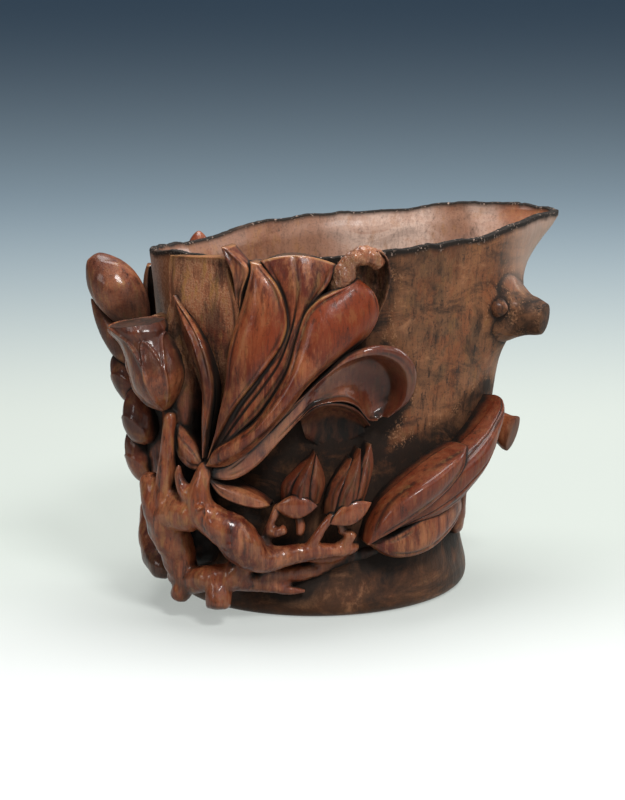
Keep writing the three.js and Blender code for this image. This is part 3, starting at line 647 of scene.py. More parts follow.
def wall_finish():
    colours = bpy.context.scene.bamboo_cup_colours
    f = Finish("polished_bamboo_wall", Specular_IOR_Level=0.14, Coat_Roughness=0.16)
    fine, flecks = fibres(f, 0.28)
    broad = f.noise(34, detail=6, rough=0.65, warp=0.8)
    cloud = f.noise(62, (0.8, 0.8, 1.3), detail=8, rough=0.72, warp=1.2)
    patches = f.noise(95, (1, 1, 0.7), detail=7, rough=0.75)
    mottle = f.noise(380, (1, 1, 0.3), detail=5, rough=0.7)
    grit = f.noise(1700, detail=2, rough=0.6)
    marks = ("inside", "lip", "crust", "recess", "ridge")
    inside, lip, crust, recess, ridge = (f.attribute(mark) for mark in marks)
    outside = 1 - inside

    # The worn skin, and the paler hollow with two bright patches of painted reflection
    f.lay(colours.wall)
    f.lay(colours.wall_olive, broad.ramp(0.42, 0.60) * 0.9)
    f.lay(colours.wall_red, patches.ramp(0.46, 0.62) * 0.8)
    hollow = f.mix(colours.inside, colours.wall_red, patches.ramp(0.48, 0.72) * 0.6)
    # painted reflection: two pale patches on the hollow's far wall
    pale = f.across(0.010, 0.026) * (1 - f.across(0.040, 0.048))
    pale = pale + 0.6 * f.across(0.050, 0.054) * (1 - f.across(0.057, 0.062))
    pale = pale * (0.45 + 0.8 * cloud.ramp(0.40, 0.62))
    hollow = f.mix(hollow, colours.painted_sheen, pale.clamped())
    hollow = f.mix(hollow, colours.wall_red, f.across(0.054, 0.064) * 0.8)
    f.lay(hollow, inside)

    # Varnish, fibres and pores
    f.lay(colours.gold, mottle.ramp(0.50, 0.70) * 0.45)
    dark = flecks + mottle.ramp(0.47, 0.30) * 0.7 + grit.ramp(0.54, 0.68) * 0.45
    dark = dark + fine.ramp(0.52, 0.68) * 0.25
    f.lay(colours.patina, (dark * (1 - inside * 0.45)).clamped())
    f.lay(colours.gold, ridge.ramp(0.2, 0.9) * 0.35)

    # Painted shade: darker low down, at the left beside the flower and in the recesses (with soot), and at
    # the foot (with its own darker colour); the smoky band under the rim, smudges and paler rubbed parts
    # are the skin's own
    low = (1 - f.upright(0.012, 0.046)) * (0.28 + 0.5 * cloud.ramp(0.42, 0.60))
    band = f.upright(0.080, 0.094) * outside * (1 - crust) * (0.08 + 0.6 * patches.ramp(0.46, 0.60))
    band = band + (1 - f.upright(0.036, 0.070)) * 0.30 + (1 - f.across(-0.004, 0.030)) * 0.25 * outside
    f.lay(colours.wall_dark_and_shade, ((band + low) * outside).clamped() * 0.9)
    f.lay(colours.wall_bright, cloud.ramp(0.46, 0.32) * (0.3 + 0.5 * mottle) * outside)
    # painted shade in the recesses, partly soot, with smoky smudges
    soot = recess.ramp(0.06, 0.62) * (0.25 + 1.5 * mottle * patches + 0.6 * broad.ramp(0.4, 0.6))
    smoke_and_shade = soot + cloud.ramp(0.47, 0.66) * 0.75 + patches.ramp(0.56, 0.70) * 0.35
    f.lay(colours.patina, (smoke_and_shade * (1 - inside * 0.5)).clamped() * 0.94)
    worn = grit.ramp(0.52, 0.62) * mottle.ramp(0.45, 0.60) * recess.ramp(0.04, 0.22)
    worn = worn * (1 - recess.ramp(0.40, 0.62)) * f.upright(0.022, 0.045)
    f.lay(colours.tan, worn * 0.6)

    # The dry left flank, whose crust is partly painted light on its shaded side; a painted sheen on the
    # spout; the black lip with painted glints
    f.lay(colours.wall_red, crust * 0.6)
    f.lay(colours.tan, crust * (0.08 + 0.8 * grit.ramp(0.44, 0.60)) * 0.7)
    # painted sheen of reflected light on the spout
    spout = f.across(0.038, 0.056) * f.upright(0.078, 0.088) * outside * (0.6 + 0.5 * fine)
    f.lay(colours.painted_sheen, spout.clamped() * 0.6)
    f.lay(colours.lip, lip * (1 - broad.ramp(0.55, 0.75) * 0.25))
    # painted glints on the lip
    f.lay(colours.painted_sheen, lip * grit.ramp(0.58, 0.66) * mottle.ramp(0.46, 0.58) * 0.55)

    coat = 0.10 + 0.35 * inside - 0.3 * recess.ramp(0.05, 0.6) - 0.5 * lip
    height = fine * 0.3 + coarse_grain(f) * 0.8 + grit * 0.15 - flecks * 0.6
    return f.finished(0.36 + 0.3 * mottle + 0.25 * recess + 0.3 * lip, coat, height, 0.6, 0.6 * MM)


def carving_finish():
    colours = bpy.context.scene.bamboo_cup_colours
    f = Finish("polished_bamboo_carving", Specular_IOR_Level=0.17, Coat_Roughness=0.13)
    fine, flecks = fibres(f, 0.5)
    streaks = f.noise(640, (1, 1, 0.055), detail=5, rough=0.68)
    broad = f.noise(55, detail=5, rough=0.6, warp=0.6)
    patches = f.noise(130, (1, 1, 0.35), detail=7, rough=0.72)
    mottle = f.noise(480, (1, 1, 0.25), detail=5, rough=0.68)
    grit = f.noise(1900, detail=2, rough=0.6)
    marks = ("recess", "ridge", "crust", "blush", "groove", "crest", "gloss")
    recess, ridge, crust, blush, groove, crest, gloss = (f.attribute(mark) for mark in marks)
    left_side = 1 - f.across(-0.050, -0.030)

    # The streaked red of the wood, its dry crust and its deep red parts
    f.lay(colours.petal)
    f.lay(colours.petal_deep, broad.ramp(0.42, 0.60))
    f.lay(colours.petal_bright, patches.ramp(0.46, 0.64) * 0.75)
    f.lay(colours.petal_deep, streaks.ramp(0.50, 0.62) * (0.75 - 1.4 * gloss).clamped())
    f.lay(colours.petal_bright, streaks.ramp(0.47, 0.38) * 0.5)
    dry = crust * (0.34 + 0.9 * grit.ramp(0.42, 0.58) * mottle.ramp(0.36, 0.52))
    f.lay(colours.tan, dry.clamped())
    f.lay(colours.blush, (blush * (0.45 + 0.9 * broad.ramp(0.36, 0.56))).clamped())

    # Varnish, fibres and pores
    gilt = mottle.ramp(0.50, 0.64) * (0.22 + 0.4 * left_side * broad.ramp(0.60, 0.42) + 0.5 * crust)
    gilt = gilt + crest * mottle.ramp(0.36, 0.52) * 0.9
    f.lay(colours.gold, gilt.clamped())
    dark = flecks + mottle.ramp(0.47, 0.30) * (0.55 + 0.3 * left_side)
    dark = dark + grit.ramp(0.58, 0.70) * 0.25 + fine.ramp(0.52, 0.68) * 0.25
    f.lay(colours.patina, (dark * (1 - 0.45 * crust)).clamped())

    # Rubbed crests; darker in the grooves; painted shade on the left buds and in the recesses, with soot
    # there too; darker among the roots near the bottom
    f.lay(colours.petal_bright, ridge.ramp(0.1, 0.7) * 0.6)
    f.lay(colours.gold, ridge.ramp(0.25, 0.8) * mottle.ramp(0.40, 0.56) * 0.85)
    f.lay(colours.patina, (groove * (0.45 + 0.9 * mottle)).clamped() * 0.9)
    f.lay(colours.gold, groove * mottle.ramp(0.50, 0.60) * 0.45)
    shade = left_side * f.upright(0.032, 0.052) * (0.15 + 0.75 * broad.ramp(0.42, 0.58)) * (1 - ridge)
    f.lay(colours.dusk, (shade * (1 - 0.7 * crust)).clamped())
    # painted shade in the recesses, partly soot; the roots are darker near the bottom
    soot = recess.ramp(0.27, 0.70) * (0.55 + 0.9 * mottle) * (1 - 0.75 * crust)
    roots = (1 - f.upright(0.010, 0.028)) * left_side
    soot = soot + roots * (0.15 + 0.6 * patches.ramp(0.44, 0.58)) * (1 - ridge)
    soot = soot + crust * patches.ramp(0.50, 0.38) * 0.6
    f.lay(colours.patina, soot.clamped())

    coat = 0.17 + gloss + 0.5 * ridge - 0.14 * blush - 0.15 * left_side * mottle
    coat = coat - 0.4 * recess.ramp(0.2, 0.7) - 0.3 * crust
    height = fine * 0.3 + coarse_grain(f) * 0.8 + grit * (0.12 + 1.2 * crust) - flecks * 0.4
    height = height + streaks * 0.4 + mottle * (0.25 + 1.6 * crust)
    return f.finished(0.25 + 0.28 * mottle + 0.3 * recess + 0.2 * crust, coat, height, 0.5, 0.5 * MM)


def wall_material():
    return bpy.data.materials.get("polished_bamboo_wall") or wall_finish()


def carving_material():
    return bpy.data.materials.get("polished_bamboo_carving") or carving_finish()


# The cup


class BAMBOOCUP_OT_wall(bpy.types.Operator):
    """Models the hollow trunk with its foot, lip and spout"""

    bl_idname = "bamboocup.wall"
    bl_label = "Trunk wall"
    # Shares of the rings: under the foot, up the outside, over the lip, down the inside, the floor
    STOPS = np.array([0, 0.03, 0.60, 0.66, 0.93, 1.0])
    # What the carver left standing off the even wall: degrees and height in millimetres of its
    # middle, the half widths both ways, and its height
    BOSSES = (
        (-30, 75, 12.5, 9.5, 5.0),  # under the upper stub
        (-44, 77.5, 5, 4.5, 1.8),  # the knot beside it
        (-38.5, 76, 2, 6, -0.8),  # the furrow between them
        (-26, 42, 8, 7, 2.0),  # under the lower stub
    )

    def execute(self, context):
        sizes = context.scene.bamboo_cup_sizes
        wall = trunk()
        marks = {}
        low = sizes.floor_height + 4 * MM  # where the wall of the hollow turns into its floor

        def shape(u, w):
            degrees = w * 360
            rim = self.rim(wall, degrees)
            part = np.clip(np.searchsorted(self.STOPS, u, side="right") - 1, 0, 4)
            s = (u - self.STOPS[part]) / (self.STOPS[part + 1] - self.STOPS[part])

            under = wall.point(degrees, 0) * np.array([1, 1, 0]) * (s**0.8)[:, None]
            rise = s * rim
            outer = wall.point(degrees, rise, self.swell(degrees, rise, wall.point(degrees, rise)))
            turn = math.pi * s
            swell = self.swell(degrees, rim, wall.point(degrees, rim)) * (1 - s)
            swell = swell - sizes.lip * 0.5 * (1 - np.cos(turn))
            over = wall.point(degrees, rim + 0.35 * MM * np.sin(turn), swell)
            drop = 1 - s
            thickness = blend(sizes.wall_at_floor, sizes.wall, drop)
            thickness = blend(thickness, sizes.lip, smooth(0.93, 1, drop))
            inner = wall.point(degrees, blend(low, rim, drop), -thickness)
            bottom = wall.point(degrees, low, -sizes.wall_at_floor)
            share = np.cos(s * math.pi / 2) ** 0.55
            hollow = bottom * np.stack([share, share, np.ones_like(share)], -1)
            sink = 1 - np.sqrt(1 - share**4 * 0.999)
            hollow[:, 2] = sizes.floor_height + (low - sizes.floor_height) * sink
            places = np.choose(part[:, None], [under, outer, over, inner, hollow])
            places[u == 0] = (0, 0, 0)
            places[u == 1] = (0, 0, sizes.floor_height)
            marks["inside"] = np.where(part == 2, smooth(0.4, 1, s), part > 2)
            below = rim - places[:, 2] + 0.5 * MM * ripple(places / MM, 2.5)
            reach = np.where(part > 2, 0.6, 1.9) * MM
            marks["lip"] = smooth(reach, 0.4 * reach, below)
            return places

        piece = marked(shaped("trunk_wall", shape, around=360, along=250), **marks)
        settled(piece, "cup_body", wall=True, slot="bamboo_wall")
        return {"FINISHED"}

    @staticmethod
    def rim(wall, degrees):
        """The rim's height with its small waves and nicks."""
        turn = np.radians(degrees)
        rim = wall.rim_at(degrees) + 0.18 * MM * np.sin(turn * 23 + 2 * np.sin(turn * 5))
        line = np.stack([degrees, 0 * degrees, 0 * degrees], -1)
        nicks = smooth(0.1, 0.9, ripple(line, 1.6, seed=4.0))
        return rim - 0.3 * MM * nicks + 0.12 * MM * ripple(line, 0.5)

    def swell(self, degrees, height, places):
        t = wrapped(degrees)
        z = height / MM
        off = 0.22 * ripple(places / MM, 9.0) + 0.06 * ripple(places / MM, 0.75)
        for middle, level, half_width, half_height, rise in self.BOSSES:
            off = off + rise * lump(t, middle, half_width) * lump(z, level, half_height)
        fade = smooth(0, 4, z) * smooth(0, 3, 99 - z)
        return off * fade * MM


PETALS = {
    "petal_front_large": dict(
        left=[[-141, 44, 14.5], [-138, 48.5, 14.5], [-133, 51.5, 14], [-127, 55.5, 13],
            [-121.5, 62.5, 12], [-117.5, 69.5, 10.5], [-115.5, 76, 9], [-112.5, 83, 8], [-109, 86, 7.5],
            [-105, 87.8, 7], [-101.5, 89.2, 6.5], [-98, 90.8, 6]],
        middle=[15.5, 17, 17, 17, 16.5, 15.5, 14.2, 13, 12, 11, 9.6, 6.6],
        right=[[-141.5, 42.5, 14], [-136.5, 43, 14], [-131.5, 45.5, 13], [-125.5, 50, 12],
            [-118.5, 56.5, 10.5], [-112, 63.5, 9], [-106, 68, 7.5], [-99, 72, 6.5], [-93.5, 76.2, 6],
            [-91.2, 81, 6], [-92.4, 86.4, 6], [-96.5, 90.4, 5.6]],
        lip_left=[[0, 0], [0.25, 0.2], [0.5, 0.9], [0.8, 1.2], [1, 0.5]],
        lip_right=[[0, 0], [0.5, 0.3], [0.8, 0.5], [1, 0.3]],
        lip_width=0.8, edge=1.0, fullness=1.25, under=0.15, dish=[[0, 0], [0.5, 0], [0.9, 0.8], [1, 0]],
        blush=[[0, 0], [0.5, 0.1], [0.68, 0.85], [1, 1]],
    ),
    "petal_centre_left": dict(
        left=[[-141, 45, 14.5], [-138, 51, 14.5], [-136.5, 57, 14], [-135, 64, 12.5],
            [-134.5, 71.5, 10.5], [-133, 77.5, 9], [-130.5, 83.5, 7.5], [-128.5, 90, 6.2],
            [-127.5, 95, 5.2]],
        middle=[15, 16, 15.8, 15, 13.8, 12.8, 11.2, 9, 6],
        right=[[-140, 45, 14.5], [-137, 50, 14.5], [-131.5, 59, 14], [-126.5, 65, 13], [-122, 70.5, 12],
            [-118.5, 75.5, 11], [-117, 81, 9.5], [-119, 89, 7.5], [-124, 94.5, 5.8]],
        lip_right=[[0, 0.2], [0.3, 0.7], [0.7, 1.0], [1, 0.6]],
        lip_left=0.3, lip_width=0.8, under=0.15, fullness=1.3,
        blush=[[0, 0], [0.42, 0.1], [0.6, 0.9], [0.72, 0.6], [0.86, 0], [1, 0]],
    ),
    "petal_curled_right": dict(
        left=[[-141.5, 42.4, 13.4], [-135.5, 44, 12.6], [-128.8, 49, 11], [-121.5, 55.5, 9.8],
            [-113.2, 62, 9.2], [-106.8, 67.4, 9.4], [-100.8, 72, 9.8], [-93.5, 73.8, 10.2],
            [-86.2, 72, 9.8], [-81, 65.8, 8.8], [-81.6, 58.8, 7.6], [-86.5, 53.8, 5.6]],
        middle=[[-141.8, 40.6, 13.8], [-135.5, 41.6, 12.6], [-128.6, 45.6, 11], [-121.2, 52, 9.4],
            [-113.6, 58.2, 7.6], [-108.4, 62.2, 5.6], [-102, 64.5, 3.8], [-95.5, 65.3, 2.4],
            [-91.2, 62.4, 1.8], [-89, 58.6, 1.6], [-88.4, 55.8, 2.2], [-88.8, 53.4, 4]],
        right=[[-142, 39.4, 14], [-135.5, 39.2, 12.5], [-128.4, 42.6, 10.5], [-121, 48.8, 9],
            [-114.4, 54.6, 8], [-110.8, 57.4, 7.5], [-106.5, 58.5, 7], [-101.5, 58.5, 6.4],
            [-97.5, 57, 5.6], [-95, 54.5, 5], [-93.5, 53, 4.6], [-90.5, 52.4, 4.2]],
        roll_left=[[0, 0.4], [0.3, 0.9], [0.45, 1.5], [0.6, 2.6], [0.72, 3.4], [0.9, 3.2], [1, 1.4]],
        roll_right=[[0, 0.3], [0.3, 0.7], [0.55, 0.9], [0.9, 1.2], [1, 0.8]],
        edge=1.0, fullness=1.3, along=200,
        blush=[[0, 0], [0.5, 0.2], [0.7, 0.6], [1, 0.6]],
        soot=[[0, 0], [0.45, 0.1], [0.65, 0.28], [1, 0.30]],
    ),
    "petal_under_curl": dict(
        left=[[-114.5, 55, 7.4], [-109, 58.4, 7.2], [-102.5, 58.6, 6.6], [-97, 56.4, 5.8],
            [-92.5, 52, 4.4]],
        middle=[[-113.6, 51.5, 3], [-107.5, 51.5, 0.9], [-101.5, 51.5, 0.5], [-96.5, 50.8, 0.5],
            [-92.4, 49.6, 0.6]],
        right=[[-112.5, 48, 1.2], [-107, 45, -0.4], [-101, 44, -0.6], [-96, 45.5, -0.6],
            [-92, 47.6, -0.4]],
        roll_left=[[0, 0.7], [0.5, 1.2], [1, 0.8]], edge=0.6, wear=0.35, soot=0.33,
    ),
    "petal_side_sliver": dict(
        left=[[-143, 45, 14], [-142.6, 53.5, 13], [-143.6, 64.5, 10.5], [-148, 72.5, 8], [-154, 79.5, 6],
            [-157.5, 84.5, 4.8]],
        middle=[14.8, 14.6, 12.6, 10.6, 8.2, 5.6],
        right=[[-141.5, 45, 14], [-139.5, 54, 13], [-138.6, 63, 11.5], [-141.4, 72, 9.5],
            [-146.6, 78.6, 7.5], [-155.5, 85, 5.2]],
        lip_right=0.8, lip_width=0.7, edge=0.7, fullness=0.7,
    ),
    "sepal_below": dict(
        left=[[-142.5, 40.6, 13.4], [-139, 38.2, 12.4], [-134.5, 36.6, 10.4], [-129.5, 34.4, 8.6],
            [-126.2, 32, 7.4]],
        middle=[[-142.3, 40, 14], [-139.2, 36.8, 14], [-134.6, 34.6, 12.4], [-129.6, 33, 10],
            [-126, 31.8, 7.6]],
        right=[[-142, 39.4, 13.6], [-139.8, 35.2, 13.4], [-135, 32.6, 11.8], [-129.4, 31.2, 9.2],
            [-126, 31.4, 7.4]],
        lip_right=0.5, lip_width=0.7, edge=0.7, fullness=1.2, around=72, along=90, depth=3.0,
    ),
    "sepal_left": dict(
        left=[[-143.5, 41.2, 13.6], [-148, 41.2, 13.4], [-152.5, 44, 12.6], [-154.8, 52, 10.4]],
        middle=[14.2, 13.8, 13, 10.6],
        right=[[-143, 44, 13.8], [-146, 47.4, 12.2], [-150, 50, 11], [-153.8, 52.6, 10]],
        lip_left=0.5, lip_width=0.8, around=72, along=72, depth=2.0,
    ),
    "petal_tip_fold": dict(
        left=[[-132.8, 79, 5], [-132.6, 86, 6], [-132.8, 92, 6.6], [-136.2, 98.6, 6]],
        middle=[5.8, 7, 7.8, 6.2],
        right=[[-131.2, 80, 5], [-129.6, 87, 6], [-127.4, 93.4, 6.4], [-133.6, 98.2, 5.6]],
        lip_left=0.5, lip_right=0.9, lip_width=0.8, edge=0.6, dish=0.5, around=64, along=80,
    ),
    "petal_top_right": dict(
        left=[[-102.5, 93, 4.4], [-99.6, 96.2, 5.4], [-95.2, 98, 6.2], [-90.5, 97, 6.6],
            [-88.3, 92.5, 6.2], [-88.3, 85.5, 5], [-90.8, 79, 3.6]],
        middle=[[-102, 90.6, 5], [-99, 93.2, 5.2], [-95.4, 94.6, 4], [-92.4, 93.6, 2.4], [-91, 90, 1.4],
            [-90.8, 85.4, 1.2], [-91.8, 80.2, 2.4]],
        right=[[-101.5, 87, 5], [-99, 88, 4.8], [-97.2, 88.6, 4.6], [-96.4, 88, 4.2], [-95.6, 86.8, 3.6],
            [-95, 84.4, 3], [-94.4, 81.4, 2.4]],
        roll_left=[[0, 0.6], [0.4, 1.6], [0.8, 1.8], [1, 1]], around=80, along=120, wear=0.6,
        soot=[[0, 0], [0.35, 0.1], [0.6, 0.5], [1, 0.6]],
    ),
    "petal_back_centre": dict(
        left=[[-140.5, 45, 14], [-137, 51.5, 13.4], [-132.5, 59.5, 12.6], [-127.5, 65.5, 11.6],
            [-123, 70.5, 10.6], [-119.5, 76, 9.4], [-118.5, 81.5, 8], [-121, 90, 6.2], [-124.5, 95, 4.6]],
        middle=[14.6, 14.4, 13.8, 13.2, 12.2, 11, 9.8, 8.6, 5.4],
        right=[[-137.5, 46, 14], [-131.5, 51.5, 13], [-126, 56, 12], [-120.5, 62.5, 11],
            [-116.5, 69, 10], [-114.5, 75.5, 8.5], [-111, 82.5, 7], [-104.8, 89.4, 5.6],
            [-101.5, 93.6, 4.2]],
        crown=2.4, lip_left=0.3, lip_right=0.6, folds=[(-0.1, 0.45, 0.09), (0.5, -0.3, 0.2)], under=0.1,
    ),
    "petal_back_left": dict(
        left=[[-145, 57, 6], [-150, 66, 4.5], [-157.5, 74.5, 3.4], [-161.5, 84, 2.8], [-161, 94.5, 2.4]],
        middle=[7.5, 7, 7, 6.2, 3.4],
        right=[[-137, 58, 8], [-133.6, 66, 7.5], [-131.6, 75, 7], [-131.6, 84.5, 6], [-135.6, 95.5, 3.4]],
        lip_right=0.8, lip_left=0.9, lip_width=0.8, fullness=1.6, dish=0.8, wear=0.3,
        blush=[[0, 0.2], [0.3, 0.1], [0.55, 0.75], [0.75, 0.4], [1, 0]],
    ),
}  # fmt: skip


class BAMBOOCUP_OT_flower(bpy.types.Operator):
    """Models the petals and sepals of the open magnolia"""

    bl_idname = "bamboocup.flower"
    bl_label = "Open magnolia"
    ROCKS = (
        [[-103, 85.5, 4, 2.2], [-101.4, 89.5, 5, 3], [-100, 93, 5.2, 2.8], [-98.6, 96, 4.8, 1.9]],
        [[-100, 94, 5, 2.2], [-96.4, 96, 5.4, 2.4], [-93, 95.6, 5.4, 2.2], [-90.6, 93, 5.4, 1.5]],
    )  # fmt: skip

    def execute(self, context):
        for name, form in PETALS.items():
            piece = carved_relief("carved_" + name, **form)
            if name == "petal_top_right":
                rocks = [limb("rock", line, 64, 96, gnarl=0.2) for line in self.ROCKS]
                piece = joined("carved_" + name, [piece, *rocks])
                roughened(piece, ((0.28, 0.5), (0.14, 0.27)))
            settled(piece, name)
        return {"FINISHED"}


LIMBS = {
    "branch_main": [[-142, 44, 13.6, 1.5], [-143, 40.5, 15, 2.1], [-144, 36.5, 16.4, 2.8],
        [-144, 31.5, 16.6, 3.9], [-140.5, 28.5, 16.4, 4.2], [-136.5, 26.5, 15.6, 4.7],
        [-133.5, 22.5, 14, 5], [-130, 18.8, 11.5, 4.2], [-124.5, 18.4, 8.6, 3.2], [-118, 19.4, 7.6, 2.6],
        [-111, 19.6, 6.6, 2.2], [-103.5, 19.4, 5.2, 1.8], [-96.5, 20, 3.6, 1.3]],
    "branch_cross": [[-159.5, 27, 16.4, 4.6], [-152, 29.4, 16.6, 4.5], [-145.5, 30, 16.6, 4.4]],
    "trunk_left": [[-164, 38.5, 15.6, 2.3], [-161.5, 34.5, 16.4, 3.3], [-159.5, 30, 16.8, 4.2],
        [-158, 25, 16.6, 4.9], [-157, 19.5, 15, 4.8], [-156, 14.5, 13, 4.2], [-155, 10.5, 11.6, 3.6]],
    "stem_left": [[-154.5, 56, 11.4, 1.9], [-154.8, 48, 13.4, 2.1], [-155.6, 41, 15, 2.4],
        [-157, 34, 16.4, 2.9], [-157, 30, 16.8, 3.4]],
    "root_front": [[-161, 12, 11, 3.8], [-153, 10.6, 12, 3.6], [-144.5, 12.4, 12.2, 3.8],
        [-138, 12.4, 9.6, 3.2], [-131, 10.4, 5.6, 2.2], [-124, 8.6, 3, 1.5], [-115.5, 8, 1.6, 0.8]],
    "root_nub_front": [[-142.5, 12, 12.4, 2.8], [-141.5, 8.4, 13.2, 3.4], [-141, 5, 13.6, 3.2]],
    "root_nub_side": [[-154, 11, 12, 2.4], [-155, 8, 12.6, 2.8], [-156.5, 5, 12.8, 2.3]],
    "trunk_back_left": [[-186, 26, 9, 2.8], [-183, 19, 10, 3.6], [-177, 13, 9.6, 3.8], [-167, 9, 9, 3.4]],
    "stem_of_buds": [[-168, 30, 6, 6.6], [-170, 42, 4.6, 6.2], [-171, 54, 3.4, 6], [-172, 66, 2.4, 5.4],
        [-175, 78, 1.4, 4]],
    "twig_left": [[-128.5, 19, 9, 1.8], [-127.8, 24, 9.4, 1.4], [-125.4, 28.5, 9, 1.2],
        [-123, 32.5, 7.6, 1.2]],
    "twig_centre": [[-116, 19, 7, 1.8], [-112.5, 23, 7.8, 1.4], [-109, 27, 8, 1.2], [-105, 30, 7.4, 1.3]],
    "twig_right": [[-105, 19.4, 4.6, 1.5], [-101.6, 22, 6, 1.3], [-100, 24.6, 6.6, 1.7]],
    "thorn_upper": [[-149.5, 43, 16, 0.7], [-149.8, 40, 16.6, 1.3], [-148.5, 36.5, 17, 1.9],
        [-145.5, 34, 17, 2.6]],
    "branch_back": [[-180, 13, 7, 4], [-198, 20, 5.5, 3.8], [-214, 30, 5, 3.3], [-226, 42, 4.6, 2.8],
        [-236, 56, 4.4, 2.3], [-243, 69, 4, 1.9]],
    "twig_back": [[-214, 31, 6, 2.2], [-232, 33, 4.8, 1.8], [-250, 31, 3.6, 1.5], [-266, 33, 3, 1.2]],
}  # fmt: skip
# Ground that the carver left between the branches, behind the buds and under the flower's neck
GROUND = (
    [[-160, 12, 5, 6.5], [-161, 24, 4, 6], [-161, 36, 4.4, 5.6], [-158, 48, 4.8, 5.6],
        [-156, 60, 4.2, 5.6], [-157.5, 72, 2.4, 5], [-160, 84, 0.6, 4]],
    [[-172, 14, 3, 6.5], [-176, 24, 3, 6], [-178, 34, 2, 5]],
    [[-141, 46, 12, 1.8], [-141.5, 43, 10, 2.6], [-141, 40, 4, 4]],
    [[-136, 14, 3, 4], [-131, 13, 2.4, 4], [-125, 12.5, 1.5, 3.4]],
    [[-127.5, 24.5, 9.4, 1.3], [-124, 25.4, 10, 1.3], [-121, 26.4, 10, 1.4]],
    [[-133, 14, 7, 2.8], [-126, 12.4, 3, 2.6], [-117, 12.6, 0.4, 2.4], [-106, 14.8, -0.8, 2.2],
        [-95, 16.2, -1.2, 1.9], [-84, 17.4, -1.2, 1.6]],
    [[-158.5, 34, 15.6, 3], [-153, 32.6, 16, 2.6], [-147.5, 32.4, 16.2, 2.6]],
    [[-134.5, 17, 10, 3.4], [-138, 14, 10.6, 3.4], [-141.5, 11.5, 11, 3.4]],
    [[-142.6, 33.6, 20, 1.2], [-141.6, 32.4, 20.4, 1.5]],
    [[-136.4, 24.6, 19.4, 1.6], [-134.8, 23.2, 18.6, 1.8]],
    [[-120, 20, 7, 1.9], [-115.5, 17.6, 3.8, 1.8], [-108, 16.8, 1.6, 1.7], [-99.5, 18, 0.6, 1.5]],
    [[-122, 33, 6, 1.4], [-118.6, 30.6, 6.2, 1.1], [-117, 27.2, 6.6, 1.1], [-117.6, 23.4, 6.8, 1.3]],
    [[-105.5, 29.5, 6, 1.3], [-103.6, 26.4, 6, 1.1], [-103, 23.6, 5.4, 1.2]],
)  # fmt: skip


class BAMBOOCUP_OT_branchwork(bpy.types.Operator):
    """Models the gnarled branch, its twigs and its roots as one grown mass"""

    bl_idname = "bamboocup.branchwork"
    bl_label = "Branches and roots"

    def execute(self, context):
        parts = [limb("limb", line, gnarl=0.12, seed=k * 1.3) for k, line in enumerate(LIMBS.values())]
        parts += [limb("ground", line, gnarl=0.14, seed=k * 2.1) for k, line in enumerate(GROUND)]
        piece = joined("gnarled_branchwork", parts)
        modified(piece, "REMESH", mode="VOXEL", voxel_size=0.45 * MM, use_smooth_shade=True)
        modified(piece, "SMOOTH", factor=0.6, iterations=6)
        roughened(piece, ((0.30, 4.2), (0.12, 1.3), (0.10, 0.5), (0.05, 0.24)))
        # The ground between the branches keeps its rough crust
        places = vectors(piece.data)
        off = trunk().beyond(places)[1]
        marked(piece, crust=smooth(13 * MM, 10 * MM, off) * smooth(0.054, 0.072, places[:, 2]))
        settled(piece, *LIMBS)
        return {"FINISHED"}


BUDS = {
    "bud_middle": dict(
        start=[-156, 55.5, 12], end=[-166.5, 77.5, 12], radius=7.2, open=1.0, slant=0.3, bow=2.0,
        around=128, along=150,
        profile=[[0, 0.3], [0.12, 0.66], [0.3, 0.93], [0.5, 0.9], [0.8, 0.84], [0.91, 0.98], [1, 1]],
        scales=[(105, 48, 0.99, 0.9), (42, 26, 0.80, 0.9), (-20, 44, 0.86, 0.9), (180, 50, 0.9, 0.7)],
    ),
    "bud_upper": dict(
        start=[-179, 74, 5.5], end=[-188.5, 92, 15.5], radius=6.6,
        profile=[[0, 0.5], [0.25, 0.86], [0.5, 1], [0.75, 0.92], [0.92, 0.66], [1, 0.5]],
        soot=[[0, 0.5], [0.3, 0.36], [0.5, 0.16], [0.8, 0.05], [1, 0]],
        scales=[(20, 80, 0.9, 0.3), (200, 80, 0.85, 0.3)],
    ),
    "bud_upper_bract": dict(
        start=[-176, 60, 8], end=[-190, 80.5, 17], radius=4.2, flat=0.7, peak=0.5, soot=0.22,
    ),
    "bud_third": dict(
        start=[-174, 52, 8], end=[-186, 67, 11.5], radius=4.8, peak=0.55, blunt=0.5,
        soot=0.22, scales=[(90, 80, 0.7, 0.4)],
    ),
    "bud_fourth": dict(
        start=[-169, 44.5, 11], end=[-173, 59, 11.5], radius=4.9, blunt=0.5,
        soot=0.18, scales=[(90, 70, 0.6, 0.4)],
    ),
    "bud_fifth": dict(
        start=[-174.5, 33, 9.6], end=[-177, 47.2, 12.2], radius=4.5, blunt=0.5,
        scales=[(90, 80, 0.65, 0.4)],
    ),
}  # fmt: skip


class BAMBOOCUP_OT_left_buds(bpy.types.Operator):
    """Models the cluster of buds up the left edge"""

    bl_idname = "bamboocup.left_buds"
    bl_label = "Buds at the left"

    def execute(self, context):
        for name, form in BUDS.items():
            piece = pod("carved_" + name, **form)
            roughened(piece, ((0.07, 0.8), (0.025, 0.3)))
            settled(piece, name)
        return {"FINISHED"}


